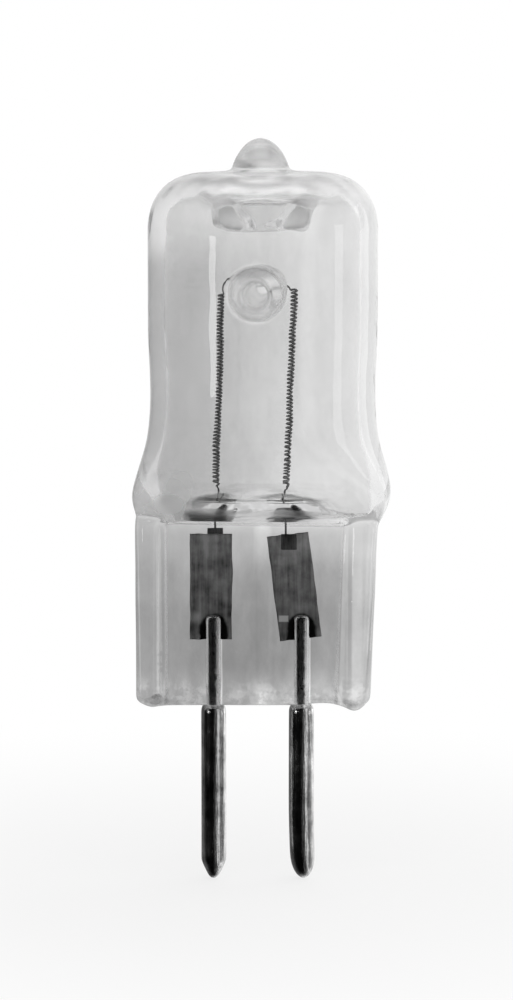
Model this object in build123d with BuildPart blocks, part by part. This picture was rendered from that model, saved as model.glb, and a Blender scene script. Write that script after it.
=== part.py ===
from build123d import *
import os
from math import cos, pi, radians, sin

os.makedirs("parts", exist_ok=True)

# A clear halogen capsule bulb standing upright on two contact pins, in millimetres.
# The origin is midway between the pins on the flat bottom of the press seal, +Z runs up the bulb,
# X runs from pin to pin and -Y is the face that carries the dimple.

# Contact pins
pin_spacing = 5.33
pin_radius = 0.765
pin_length = 10.9
pin_tip_length = 1.2
pin_tip_radius = 0.22
pin_shoulder = 0.5
pin_bore_depth = 1.6
pin_seat = 0.06

# Outer leads, welded on the foils and gripped by the pins
lead_radius = 0.42
weld_length = 1.44
lead_nose = 0.2
weld_flat = 0.04
lead_gap = 0.04
weld_void_width = 1.66
weld_void_depth = 0.55

# Press seal: a flat web between two rounded ribs
seal_height = 11.4
web_thickness = 2.8
rib_thickness = 4.3
left_rib_width = 1.66
right_rib_width = 1.9
rib_taper = 0.3
seal_left = 7.35
seal_right_foot = 6.82
seal_right_top = 7.26
web_fillet = 0.5
foot_round = 0.5
right_foot_depth = 0.2

# Bulb: straight tube, rounded shoulder, crown and sealed tip
bulb_axis_x = 0.3
tube_radius = 6.93
wall = 1.05
flare_overlap = 0.1
crown_height = 32.05
tube_length = 10.05
shoulder_radius = 3.0
crown_rise = 0.22
tip_radius = 1.74
tip_height = 1.81

# Drip of glass under the crown, left where the exhaust tube was melted off
drip_radius = 3.05
drip_depth = 2.4
drip_round = 0.5
exhaust_radius = 1.2
exhaust_mouth = 0.8

# Dimple pressed in from the front, holding the middle of the filament
dimple_end_x = 0.5
dimple_end_y = 0.35
dimple_tilt = 8.0
dimple_wall = 0.75

# Sealing foils and weld tabs, with their shifts inward or outward from the pins
foil_width = 2.53
foil_thickness = 0.06
foil_foot = 3.92
foil_cover = 1.03
left_foil_shift = 0.15
right_foil_shift = 0.45
right_foil_tilt = 7.0
tab_width = 0.94
tab_height = 0.96
tab_thickness = 0.16
tab_stand = 0.42
left_tab_shift = 0.12
right_tab_shift = 0.77

# Filament: one wire, wound in two coils
wire = 0.1
coil_radius = 0.15
coil_turns = 50
turn_sides = 6
coil_stand = 2.2

# Derived places
left_x = -pin_spacing / 2
right_x = pin_spacing / 2
pin_top_radius = lead_radius + lead_gap + pin_seat
left_rib_round = 0.48 * left_rib_width
right_rib_round = 0.48 * right_rib_width
bulb_axis = Axis((bulb_axis_x, 0, 0), (0, 0, 1))
bulb_plane = Plane(origin=(bulb_axis_x, 0, 0), x_dir=(1, 0, 0), z_dir=(0, -1, 0))
flare_foot = seal_height - flare_overlap
tube_foot = crown_height - tube_length
flare_height = tube_foot - flare_foot
bore_radius = tube_radius - wall
tip_foot = crown_height + crown_rise
drip_ceiling = crown_height - wall
drip_foot = drip_ceiling - drip_depth
exhaust_spring = drip_ceiling - 0.2 * drip_depth
dimple_root_radius = 0.3 * tube_radius
dimple_end_radius = 0.64 * dimple_root_radius
dimple_round = 0.45 * dimple_end_radius
dimple_flow = 0.25 * dimple_root_radius
dimple_length = 0.94 * tube_radius + dimple_end_y
dimple_height = tube_foot + 0.33 * tube_length
dimple_end = (dimple_end_x, dimple_end_y, dimple_height)
dimple_out = (-sin(radians(dimple_tilt)), -cos(radians(dimple_tilt)), 0)
dimple_plane = Plane(origin=dimple_end, x_dir=(0, 0, 1), z_dir=(-dimple_out[1], dimple_out[0], 0))
dimple_axis = Axis(dimple_end, dimple_out)
foil_front = lead_radius - weld_flat
foil_back = foil_front + foil_thickness
foil_top = seal_height - foil_cover
foil_height = foil_top - foil_foot
lead_top = foil_foot + weld_length
void_spring = lead_top + 2 * lead_gap - weld_void_width / 2
left_tab_x = left_x + left_tab_shift
right_tab_x = right_x - right_tab_shift
left_tab_top = foil_top + tab_stand
right_tab_top = foil_top
left_tab_y = foil_back + tab_thickness / 2
right_tab_y = foil_front - tab_thickness / 2
right_leg_x = right_tab_x - 0.2 * tab_width
leg_knee = flare_foot + 0.1 * flare_height
wire_channel = 0.75 * wire
bridge_height = dimple_height + 0.15 * dimple_end_radius
bridge_start = Vector(left_x + 0.3 * pin_spacing, 0, bridge_height)
bridge_end = Vector(right_x - 0.16 * pin_spacing, 0, bridge_height - 0.23 * dimple_end_radius)
coil_foot = seal_height + coil_stand
coil_head = bridge_height - 0.62 * dimple_end_radius
coil_height = coil_head - coil_foot
leg_head = coil_foot - 2.3 * coil_radius

# Each ring of the flare: share of the height from the flare's foot to the tube, half-width and
# half-depth as shares of the tube's radius, squareness (2 is round) and share of the bulb's offset.
flare_rings = [
    (0.00, 1.062, 0.285, 5.0, 0.2),
    (0.12, 1.124, 0.450, 3.4, 0.7),
    (0.27, 1.088, 0.730, 2.3, 1.0),
    (0.45, 1.015, 0.925, 2.0, 1.0),
    (0.70, 0.981, 0.981, 2.0, 1.0),
    (1.00, 0.996, 0.996, 2.0, 1.0),
]
# The same for the hollow inside, as shares of the tube's inner radius.
hollow_rings = [
    (0.06, 0.980, 0.100, 2.2, 2.4),
    (0.14, 1.075, 0.310, 2.2, 1.3),
    (0.27, 1.070, 0.660, 2.1, 1.0),
    (0.45, 1.005, 0.905, 2.0, 1.0),
    (0.70, 0.976, 0.976, 2.0, 1.0),
    (1.00, 0.993, 0.993, 2.0, 1.0),
]


# Points round one ring, which may be anything from a circle to a rounded oblong.
def ring_points(center_x, half_width, half_depth, squareness):
    points = []
    for step in range(12):
        across = cos(pi * step / 6)
        along = sin(pi * step / 6)
        reach = abs(across) ** squareness + abs(along) ** squareness
        reach = reach ** (-1 / squareness)
        points.append((center_x + half_width * across * reach, half_depth * along * reach))
    return points


# Corner points of one coil, wound from its foot to its head about a leaning axis.
def coil_points(foot_x, head_x, bow):
    points = []
    steps = coil_turns * turn_sides
    for step in range(steps + 1):
        share = step / steps
        angle = 2 * pi * step / turn_sides
        axis_x = foot_x + (head_x - foot_x) * share + bow * sin(pi * share)
        points.append(
            (
                axis_x + coil_radius * cos(angle),
                coil_radius * sin(angle),
                coil_foot + coil_height * share,
            )
        )
    return points


# The wire's path: left leg, left coil, bridge through the dimple, right coil, right leg.
left_coil = coil_points(left_x + 0.013 * pin_spacing, left_x + 0.094 * pin_spacing, 0.019 * pin_spacing)
right_coil = coil_points(right_x - 0.163 * pin_spacing, right_x - 0.084 * pin_spacing, -0.009 * pin_spacing)
bridge_rise = bridge_height - coil_head
wire_points = [
    (left_tab_x, left_tab_y, left_tab_top),
    (left_tab_x, left_tab_y, leg_knee),
    (left_tab_x + wire / 2, coil_radius, leg_head),
    *left_coil,
    (left_x + 0.128 * pin_spacing, 0, coil_head + 0.35 * bridge_rise),
    (left_x + 0.163 * pin_spacing, 0, coil_head + 0.7 * bridge_rise),
    (left_x + 0.216 * pin_spacing, 0, bridge_height + wire / 4),
    bridge_start,
    bridge_end,
    *reversed(right_coil),
    (right_leg_x, coil_radius / 2, leg_head),
    (right_leg_x, right_tab_y, leg_knee),
    (right_leg_x, right_tab_y, right_tab_top),
]

with BuildPart() as filament:
    with BuildLine() as wire_path:
        Polyline(*wire_points)
    with BuildSketch(Plane(origin=wire_points[0], x_dir=(1, 0, 0), z_dir=(0, 0, 1))):
        Rectangle(wire, wire)
    sweep(transition=Transition.RIGHT)
filament.part.label = "filament"
export_step(filament.part, "parts/filament.step")

# Foils stand just behind the leads; the right one leans.
with BuildPart() as left_foil:
    with BuildSketch(Plane.XZ.offset(-foil_back)):
        with Locations((left_x - left_foil_shift, foil_foot + foil_height / 2)):
            Rectangle(foil_width, foil_height)
    extrude(amount=foil_thickness)
left_foil.part.label = "left_foil"
export_step(left_foil.part, "parts/left_foil.step")

with BuildPart() as right_foil:
    with BuildSketch(Plane.XZ.offset(-foil_back)):
        with Locations((right_x - right_foil_shift, foil_foot + foil_height / 2)):
            Rectangle(foil_width, foil_height, rotation=right_foil_tilt)
    extrude(amount=foil_thickness)
right_foil.part.label = "right_foil"
export_step(right_foil.part, "parts/right_foil.step")

# Weld tabs: the left one lies behind its foil and stands above it, the right one lies in front.
with BuildPart() as left_weld_tab:
    with BuildSketch(Plane.XZ.offset(-(foil_back + tab_thickness))):
        with Locations((left_tab_x, left_tab_top - tab_height / 2)):
            Rectangle(tab_width, tab_height)
    extrude(amount=tab_thickness)
left_weld_tab.part.label = "left_weld_tab"
export_step(left_weld_tab.part, "parts/left_weld_tab.step")

with BuildPart() as right_weld_tab:
    with BuildSketch(Plane.XZ.offset(-foil_front)):
        with Locations((right_tab_x, right_tab_top - tab_height / 2)):
            Rectangle(tab_width, tab_height)
    extrude(amount=tab_thickness)
right_weld_tab.part.label = "right_weld_tab"
export_step(right_weld_tab.part, "parts/right_weld_tab.step")

# Outer leads: round wires with a rounded nose and a flat where the foil is welded on.
with BuildPart() as left_outer_lead:
    with BuildSketch(Plane.XY.offset(-pin_bore_depth)):
        with Locations((left_x, 0)):
            Circle(lead_radius)
    extrude(amount=pin_bore_depth + lead_top)
    fillet(left_outer_lead.faces().sort_by(Axis.Z)[-1].edges(), lead_nose)
    with BuildSketch(Plane.XZ.offset(-foil_front)):
        with Locations((left_x, foil_foot)):
            Rectangle(4 * lead_radius, 2 * weld_length)
    extrude(amount=-lead_radius, mode=Mode.SUBTRACT)
left_outer_lead.part.label = "left_outer_lead"
export_step(left_outer_lead.part, "parts/left_outer_lead.step")

with BuildPart() as right_outer_lead:
    with BuildSketch(Plane.XY.offset(-pin_bore_depth)):
        with Locations((right_x, 0)):
            Circle(lead_radius)
    extrude(amount=pin_bore_depth + lead_top)
    fillet(right_outer_lead.faces().sort_by(Axis.Z)[-1].edges(), lead_nose)
    with BuildSketch(Plane.XZ.offset(-foil_front)):
        with Locations((right_x, foil_foot)):
            Rectangle(4 * lead_radius, 2 * weld_length)
    extrude(amount=-lead_radius, mode=Mode.SUBTRACT)
right_outer_lead.part.label = "right_outer_lead"
export_step(right_outer_lead.part, "parts/right_outer_lead.step")

# Contact pins: rounded shoulder, straight shank, tapered tip and a blind bore for the lead.
with BuildPart() as left_contact_pin:
    with BuildSketch(Plane(origin=(left_x, 0, 0), x_dir=(1, 0, 0), z_dir=(0, -1, 0))):
        with BuildLine():
            Polyline(
                (pin_tip_radius, -pin_length),
                (0, -pin_length),
                (0, -pin_bore_depth),
                (lead_radius, -pin_bore_depth),
                (lead_radius, 0),
                (pin_top_radius, 0),
            )
            TangentArc((pin_radius, -pin_shoulder), (pin_top_radius, 0), tangent=(0, 1))
            Line((pin_radius, -pin_shoulder), (pin_radius, pin_tip_length - pin_length))
            TangentArc(
                (pin_radius, pin_tip_length - pin_length),
                (pin_tip_radius, -pin_length),
                tangent=(0, -1),
            )
        make_face()
    revolve(axis=Axis((left_x, 0, 0), (0, 0, 1)))
left_contact_pin.part.label = "left_contact_pin"
export_step(left_contact_pin.part, "parts/left_contact_pin.step")

with BuildPart() as right_contact_pin:
    add(left_contact_pin.part.moved(Location((pin_spacing, 0, 0))))
right_contact_pin.part.label = "right_contact_pin"
export_step(right_contact_pin.part, "parts/right_contact_pin.step")

with BuildPart() as glass_envelope:
    # Press seal: a flat web between two rounded ribs, the right one leaning
    for height, right_edge, thickness in (
        (0, seal_right_foot, rib_thickness),
        (seal_height, seal_right_top, rib_thickness - rib_taper),
    ):
        with BuildSketch(Plane.XY.offset(height)) as seal_section:
            with Locations((left_rib_width / 2 - seal_left, 0)):
                RectangleRounded(left_rib_width, thickness, left_rib_round)
            with Locations((right_edge - right_rib_width / 2, 0)):
                RectangleRounded(right_rib_width, thickness, right_rib_round)
            with Locations((left_rib_width / 2 - seal_left, 0)):
                Rectangle(
                    right_edge + seal_left - (left_rib_width + right_rib_width) / 2,
                    web_thickness,
                    align=(Align.MIN, Align.CENTER),
                )
            corners = seal_section.vertices().filter_by(
                lambda corner: abs(abs(corner.Y) - web_thickness / 2) < 0.001
            )
            fillet(corners, web_fillet)
    loft(ruled=True)
    fillet(glass_envelope.faces().sort_by(Axis.Z)[0].edges(), foot_round)

    # The right rib's foot stands a little deeper
    for height, share in ((-right_foot_depth, 0.6), (foot_round, 0.96)):
        with BuildSketch(Plane.XY.offset(height)):
            with Locations((seal_right_foot - right_rib_width / 2, 0)):
                RectangleRounded(
                    share * right_rib_width, share * rib_thickness, share * right_rib_round
                )
    loft(ruled=True)

    # Flare from the flat seal to the round tube
    for share, width, depth, squareness, lean in flare_rings:
        with BuildSketch(Plane.XY.offset(flare_foot + flare_height * share)):
            with BuildLine():
                Spline(
                    *ring_points(
                        bulb_axis_x * lean, tube_radius * width, tube_radius * depth, squareness
                    ),
                    periodic=True,
                )
            make_face()
    loft()

    # Straight tube, rounded shoulder, crown and sealed tip
    with BuildSketch(bulb_plane):
        with BuildLine():
            Polyline(
                (0, tip_foot + tip_height),
                (0, tube_foot),
                (tube_radius, tube_foot),
                (tube_radius, crown_height - shoulder_radius),
            )
            TangentArc(
                (tube_radius, crown_height - shoulder_radius),
                (tube_radius - shoulder_radius, crown_height),
                tangent=(0, 1),
            )
            TangentArc(
                (tube_radius - shoulder_radius, crown_height),
                (tip_radius, tip_foot),
                tangent=(-1, 0),
            )
            Spline(
                (tip_radius, tip_foot),
                (0.86 * tip_radius, tip_foot + 0.35 * tip_height),
                (0.59 * tip_radius, tip_foot + 0.72 * tip_height),
                (0, tip_foot + tip_height),
                tangents=((-0.1, 1), (-1, 0)),
            )
        make_face()
    revolve(axis=bulb_axis)

    # Hollow of the flare
    for share, width, depth, squareness, lean in hollow_rings:
        with BuildSketch(Plane.XY.offset(flare_foot + flare_height * share)):
            with BuildLine():
                Spline(
                    *ring_points(
                        bulb_axis_x * lean, bore_radius * width, bore_radius * depth, squareness
                    ),
                    periodic=True,
                )
            make_face()
    loft(mode=Mode.SUBTRACT)

    # Hollow of the tube, with the drip under the crown and the closed exhaust hole in its middle
    with BuildSketch(bulb_plane):
        with BuildLine():
            Polyline(
                (0, exhaust_spring + exhaust_radius),
                (0, tube_foot),
                (bore_radius, tube_foot),
                (bore_radius, crown_height - shoulder_radius),
            )
            TangentArc(
                (bore_radius, crown_height - shoulder_radius),
                (tube_radius - shoulder_radius, drip_ceiling),
                tangent=(0, 1),
            )
            Polyline(
                (tube_radius - shoulder_radius, drip_ceiling),
                (1.08 * drip_radius, drip_ceiling),
                (0.93 * drip_radius, drip_foot + drip_round),
            )
            TangentArc(
                (0.93 * drip_radius, drip_foot + drip_round),
                (0.9 * drip_radius - drip_round, drip_foot),
                tangent=(-0.2, -1),
            )
            Polyline(
                (0.9 * drip_radius - drip_round, drip_foot),
                (exhaust_mouth, drip_foot),
                (exhaust_radius, exhaust_spring),
            )
            TangentArc(
                (exhaust_radius, exhaust_spring),
                (0, exhaust_spring + exhaust_radius),
                tangent=(0, 1),
            )
        make_face()
    revolve(axis=bulb_axis, mode=Mode.SUBTRACT)

    # Dimple: a blunt finger of glass from the front wall, pressed hollow from outside
    with BuildSketch(dimple_plane):
        with BuildLine():
            Polyline(
                (dimple_end_radius, dimple_round),
                (dimple_root_radius, dimple_length),
                (0, dimple_length),
                (0, 0),
                (dimple_end_radius - dimple_round, 0),
            )
            TangentArc(
                (dimple_end_radius - dimple_round, 0),
                (dimple_end_radius, dimple_round),
                tangent=(1, 0),
            )
        make_face()
    revolve(axis=dimple_axis)
    with BuildSketch(dimple_plane):
        with BuildLine():
            Polyline(
                (dimple_end_radius - dimple_wall, dimple_wall + dimple_round),
                (dimple_root_radius - dimple_wall / 2, dimple_length + 2 * wall),
                (0, dimple_length + 2 * wall),
                (0, dimple_wall),
            )
            TangentArc(
                (0, dimple_wall),
                (dimple_end_radius - dimple_wall, dimple_wall + dimple_round),
                tangent=(1, 0),
            )
        make_face()
    revolve(axis=dimple_axis, mode=Mode.SUBTRACT)
    dimple_rims = glass_envelope.edges().filter_by(
        lambda rim: rim.geom_type == GeomType.BSPLINE
        and rim.center().Y < -bore_radius / 2
        and abs(rim.center().Z - dimple_height) < dimple_root_radius
    )
    fillet(dimple_rims, dimple_flow)

    # Air left round the leads, widening to an arched void where they are welded on the foils
    with BuildSketch(Plane.XY.offset(-lead_gap)):
        with Locations((left_x, 0), (right_x, 0)):
            Circle(lead_radius + lead_gap)
    extrude(amount=lead_top + 2 * lead_gap, mode=Mode.SUBTRACT)
    with BuildSketch(Plane.XZ.offset(-foil_front)):
        with Locations((left_x, void_spring), (right_x, void_spring)):
            Circle(weld_void_width / 2)
        with Locations((left_x, void_spring), (right_x, void_spring)):
            Rectangle(weld_void_width, void_spring - foil_foot, align=(Align.CENTER, Align.MAX))
    extrude(amount=foil_front + weld_void_depth, mode=Mode.SUBTRACT)

    # The glass is fused round the foils and the tabs, and holds the wire in three fine channels
    add(left_foil.part, mode=Mode.SUBTRACT)
    add(right_foil.part, mode=Mode.SUBTRACT)
    add(left_weld_tab.part, mode=Mode.SUBTRACT)
    add(right_weld_tab.part, mode=Mode.SUBTRACT)
    with BuildSketch(Plane.XY.offset(left_tab_top)):
        with Locations((left_tab_x, left_tab_y)):
            Circle(wire_channel)
    extrude(amount=leg_knee - left_tab_top, mode=Mode.SUBTRACT)
    with BuildSketch(Plane.XY.offset(right_tab_top)):
        with Locations((right_leg_x, right_tab_y)):
            Circle(wire_channel)
    extrude(amount=leg_knee - right_tab_top, mode=Mode.SUBTRACT)
    with BuildSketch(Plane(origin=bridge_start, z_dir=bridge_end - bridge_start)):
        Circle(wire_channel)
    extrude(amount=(bridge_end - bridge_start).length, mode=Mode.SUBTRACT)
glass_envelope.part.label = "glass_envelope"
export_step(glass_envelope.part, "parts/glass_envelope.step")
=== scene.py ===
# %% [markdown]
# A clear halogen capsule bulb on two contact pins. The measured solids come in first, as a fixed frame in
# metres. Light bends in quartz only where the wall is smooth and really hollow, and the bare solids have no
# finish, so each piece below is modelled again where its solid stands. The box of the solids is kept, and
# its bottom sets the height of the floor.

# %% Load the solids
from math import atan2, cos, pi, radians, sin, sqrt

import bmesh
import bpy
from mathutils import Matrix, Vector, noise


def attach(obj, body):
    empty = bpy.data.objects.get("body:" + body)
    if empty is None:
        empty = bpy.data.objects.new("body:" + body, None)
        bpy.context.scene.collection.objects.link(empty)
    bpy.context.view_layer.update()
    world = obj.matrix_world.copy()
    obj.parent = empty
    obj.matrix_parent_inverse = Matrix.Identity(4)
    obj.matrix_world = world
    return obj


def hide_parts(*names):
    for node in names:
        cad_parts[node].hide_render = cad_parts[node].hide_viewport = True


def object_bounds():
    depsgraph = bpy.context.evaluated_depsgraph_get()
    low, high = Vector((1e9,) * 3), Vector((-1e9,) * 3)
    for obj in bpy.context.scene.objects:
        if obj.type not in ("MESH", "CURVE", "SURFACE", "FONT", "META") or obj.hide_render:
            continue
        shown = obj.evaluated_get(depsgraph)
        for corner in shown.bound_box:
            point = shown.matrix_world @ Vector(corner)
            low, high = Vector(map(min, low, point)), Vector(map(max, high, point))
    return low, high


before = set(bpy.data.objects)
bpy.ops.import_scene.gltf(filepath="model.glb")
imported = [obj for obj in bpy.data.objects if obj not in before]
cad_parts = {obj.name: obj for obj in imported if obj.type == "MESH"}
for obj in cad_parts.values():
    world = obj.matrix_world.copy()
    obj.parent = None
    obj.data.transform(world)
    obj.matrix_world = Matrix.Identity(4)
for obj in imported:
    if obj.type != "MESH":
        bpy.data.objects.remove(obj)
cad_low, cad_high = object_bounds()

MM = 0.001
scene = bpy.context.scene
print("solids:", sorted(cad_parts))
print("box in mm:", [round(v / MM, 2) for v in cad_high - cad_low])

# %% [markdown]
# The bulb stands upright and is seen from the front, a little from above. A long lens keeps the tube's
# sides parallel. The picture is 513 by 1000 pixels and one millimetre of the bulb is 16.6 of them, which
# fixes how far back the camera stands. Aiming it at the middle of the picture needs no lens shift.

# %% Camera
PIXELS_PER_MM = 16.6
PICTURE_HEIGHT = 1000 / PIXELS_PER_MM * MM
AIM = Vector((-0.06, 0, 12.4)) * MM
CAMERA_RISE = radians(7.5)

camera_data = bpy.data.cameras.new("camera")
camera_data.sensor_fit = "VERTICAL"
camera_data.sensor_height = 36
camera_data.sensor_width = 36
camera_data.lens = 120
camera_data.clip_start = 0.01
camera = bpy.data.objects.new("camera", camera_data)
scene.collection.objects.link(camera)
camera_distance = PICTURE_HEIGHT * camera_data.lens / camera_data.sensor_height
camera.location = AIM + camera_distance * Vector((0, -cos(CAMERA_RISE), sin(CAMERA_RISE)))
camera.rotation_euler = (pi / 2 - CAMERA_RISE, 0, 0)
scene.camera = camera
scene.view_settings.view_transform = "Standard"
print("camera stands", round(camera_distance / MM), "mm away")

# %% [markdown]
# Light can be thrown back and forth many times inside thick glass. A ray that is stopped on the way turns
# black and leaves dark slivers in the seal and the shoulder, so the limits on bounces are raised well above
# the defaults. Few rays get that far, so it costs little time.

# %% Light bounces
scene.cycles.max_bounces = 64
scene.cycles.transmission_bounces = 64
scene.cycles.glossy_bounces = 48
print("a ray may bounce", scene.cycles.max_bounces, "times")

# %% [markdown]
# A finish is a tree of small nodes. Made one property at a time they fill pages, so two helpers make a node
# and wire it in one line: an input that is given another node's output is linked, and any other is set. The
# rest are the few steps that come up again and again, such as a value that eases from one level to another.

# %% Helpers for nodes


def feed(tree, node, inputs):
    """Sets each input of a node, or links it where it is given another node's output."""
    for name, value in inputs.items():
        if isinstance(value, bpy.types.NodeSocket):
            tree.links.new(value, node.inputs[name])
        else:
            node.inputs[name].default_value = value


def wire_node(tree, kind, inputs=None, **settings):
    """Makes a node, sets its properties and feeds its inputs."""
    node = tree.nodes.new(kind)
    for name, value in settings.items():
        setattr(node, name, value)
    feed(tree, node, inputs or {})
    return node


def span(tree, value, low, high, at_low, at_high, ease="SMOOTHSTEP"):
    """A level that goes from one value to another while something goes from low to high."""
    limits = {"Value": value, "From Min": low, "From Max": high, "To Min": at_low, "To Max": at_high}
    return wire_node(tree, "ShaderNodeMapRange", limits, interpolation_type=ease).outputs["Result"]


def calc(tree, operation, a, b=0.0, c=0.0):
    """One step of arithmetic."""
    return wire_node(tree, "ShaderNodeMath", {0: a, 1: b, 2: c}, operation=operation).outputs["Value"]


def times(tree, first, *others):
    """The product of several values."""
    for factor in others:
        first = calc(tree, "MULTIPLY", first, factor)
    return first


def mix(tree, share, first, second):
    """A value between two others."""
    return wire_node(tree, "ShaderNodeMix", {0: share, 2: first, 3: second}).outputs[0]


def mix_shader(tree, share, first, second):
    """A surface or a light between two others."""
    return wire_node(tree, "ShaderNodeMixShader", {0: share, 1: first, 2: second}).outputs["Shader"]


print("helpers for nodes: feed, wire_node, span, calc, times, mix, mix_shader")

# %% [markdown]
# A colour ramp reads a tone off a list of places. It starts with two stops of its own, one at each end, so
# these are moved to the ends of the list and only the stops between them are added.

# %% Reading a tone off a list


def tone_ramp(tree, value, low, high, stops, ease):
    """A grey read off a list of places and tones while a value goes from low to high."""
    share = span(tree, value, low, high, 0.0, 1.0, "LINEAR")
    node = wire_node(tree, "ShaderNodeValToRGB", {"Fac": share})
    ramp = node.color_ramp
    ramp.interpolation = ease
    positions = [(place - low) / (high - low) for place, tone in stops]
    ramp.elements[1].position = positions[-1]
    ramp.elements[0].position = positions[0]
    for position in positions[1:-1]:
        ramp.elements.new(position)
    for element, (place, tone) in zip(ramp.elements, stops):
        element.color = (tone, tone, tone, 1)
    return node.outputs["Color"]


print("tones come from lists of places")

# %% [markdown]
# The room is a plain photo studio, given as directions round the bulb. What polished metal mirrors of it is
# a dark room in front with one bright window on the right, and a white wall behind that falls off to the
# left: that gives the pins their black middle and light edges. Rays that bounced inside the glass find the
# room nearly white, so they don't go dark. Rays that only passed through it find white too, a little dimmer
# on the left and towards the ceiling. A picture of a studio could do the same, but a few nodes keep the
# script whole.

# %% Room
MIRRORED_FRONT = [(0.12, 0.004), (0.25, 0.1), (0.56, 0.13), (0.64, 1.0), (0.76, 1.0), (0.84, 0.2)]

world = bpy.data.worlds.new("studio")
scene.world = world
world.use_nodes = True
tree = world.node_tree
tree.nodes.clear()
direction = wire_node(tree, "ShaderNodeTexCoord").outputs["Generated"]
axes = wire_node(tree, "ShaderNodeSeparateXYZ", {"Vector": direction}).outputs
behind = span(tree, axes["Y"], -0.3, 0.6, 0.0, 1.0)
front_tone = tone_ramp(tree, axes["X"], 0.0, 1.0, MIRRORED_FRONT, "EASE")
back_tone = span(tree, axes["X"], -0.5, 0.1, 0.14, 1.0)
mirrored_tone = mix(tree, behind, front_tone, back_tone)
inner_tone = span(tree, behind, 0.0, 1.0, 0.85, 1.0, "LINEAR")
dim_left = span(tree, axes["X"], -0.9, 0.1, 0.8, 1.0)
dim_above = span(tree, axes["Z"], 0.15, 0.6, 1.0, 0.5)
clear_tone = times(tree, dim_left, dim_above)
print("room tones use", len(tree.nodes), "nodes")

# %% [markdown]
# The kind of ray picks the tone. The camera itself sees pure white, a ray that passed through glass and was
# never mirrored sees the clear view, a ray that was mirrored inside the glass sees the inner tone, and
# everything else, such as the light on a pin, gets the mirrored room.

# %% What each ray sees


def backdrop(tree, tone):
    """Light at a strength of one, in a tone of the room."""
    return wire_node(tree, "ShaderNodeBackground", {"Color": tone}).outputs["Background"]


WHITE = (1, 1, 1, 1)
path = wire_node(tree, "ShaderNodeLightPath").outputs
entered = calc(tree, "GREATER_THAN", path["Transmission Depth"], 0.5)
unmirrored = calc(tree, "LESS_THAN", path["Glossy Depth"], 0.5)
passed = times(tree, path["Is Transmission Ray"], unmirrored)
seen = mix_shader(tree, entered, backdrop(tree, mirrored_tone), backdrop(tree, inner_tone))
seen = mix_shader(tree, passed, seen, backdrop(tree, clear_tone))
seen = mix_shader(tree, path["Is Camera Ray"], seen, backdrop(tree, WHITE))
wire_node(tree, "ShaderNodeOutputWorld", {"Surface": seen})
print("world has", len(tree.nodes), "nodes")

# %% [markdown]
# The floor lies under the pins' points. Near the bulb a fifth of it is plain matt white, which takes the
# soft shadow, and the rest glows at a strength of exactly one. Further off it only glows, so that it runs
# into the white backdrop with no edge. It is hidden from mirrors, because the room's own tones already say
# what metal and glass mirror.

# %% Floor
FLOOR_REACH = 0.6
MATT_SHARE = 0.2


def length(tree, vector):
    """How long a vector is."""
    return wire_node(tree, "ShaderNodeVectorMath", {0: vector}, operation="LENGTH").outputs["Value"]


bm = bmesh.new()
bmesh.ops.create_grid(bm, x_segments=1, y_segments=1, size=FLOOR_REACH)
bmesh.ops.translate(bm, vec=(0, 0, cad_low.z), verts=bm.verts)
floor_mesh = bpy.data.meshes.new("floor")
bm.to_mesh(floor_mesh)
bm.free()
floor = bpy.data.objects.new("floor", floor_mesh)
scene.collection.objects.link(floor)
floor.visible_glossy = False

floor_paint = bpy.data.materials.new("floor_white")
floor_paint.use_nodes = True
floor_mesh.materials.append(floor_paint)
tree = floor_paint.node_tree
tree.nodes.clear()
place = wire_node(tree, "ShaderNodeTexCoord").outputs["Object"]
level = wire_node(tree, "ShaderNodeVectorMath", {0: place, 1: (1, 1, 0)}, operation="MULTIPLY")
near = span(tree, length(tree, level.outputs["Vector"]), 0.01, 0.05, MATT_SHARE, 0.0)
matt = wire_node(tree, "ShaderNodeBsdfDiffuse", {"Color": (0.95, 0.95, 0.95, 1)}).outputs["BSDF"]
glow = wire_node(tree, "ShaderNodeEmission", {"Color": WHITE, "Strength": 1}).outputs["Emission"]
wire_node(tree, "ShaderNodeOutputMaterial", {"Surface": mix_shader(tree, near, glow, matt)})
print("floor at", round(cad_low.z / MM, 2), "mm")

# %% [markdown]
# Four soft boxes light the bulb. Two on the right draw the light bands down the tube's right side, a narrow
# one on the left draws the thin streak left of the middle, and a large one overhead fills in. Neither the
# camera nor a ray through the glass sees the panels themselves.

# %% Lights
LAMP_AIM = Vector((0, 0, 14)) * MM


def soft_box(name, azimuth, height, distance, width, tall, brightness):
    """A lamp panel that faces the bulb; brightness is its own glow, where 1 is the white of the backdrop."""
    data = bpy.data.lights.new(name, "AREA")
    data.shape = "RECTANGLE"
    data.size = width
    data.size_y = tall
    data.energy = brightness * pi * width * tall
    lamp = bpy.data.objects.new(name, data)
    scene.collection.objects.link(lamp)
    turn = radians(azimuth)
    lamp.location = (distance * sin(turn), -distance * cos(turn), height)
    lamp.rotation_euler = (LAMP_AIM - lamp.location).to_track_quat("-Z", "Y").to_euler()
    lamp.visible_camera = False
    lamp.visible_transmission = False


soft_box("right_box", azimuth=80, height=0.012, distance=0.16, width=0.03, tall=0.08, brightness=1.6)
soft_box("right_rear_box", azimuth=120, height=0.03, distance=0.16, width=0.05, tall=0.12, brightness=1.0)
soft_box("left_strip", azimuth=-50, height=0.007, distance=0.16, width=0.02, tall=0.034, brightness=4.5)
soft_box("top_box", azimuth=0, height=0.2, distance=0.03, width=0.16, tall=0.16, brightness=2.0)
print("lamps:", len(bpy.data.lights))

# %% [markdown]
# Every finish starts the same way: an empty tree with its shader. Most effects depend on where a point lies
# on the bulb, so that is read once from the object's own coordinates, and turned into millimetres, in which
# the numbers below are easier to follow.

# %% Starting a finish


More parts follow.
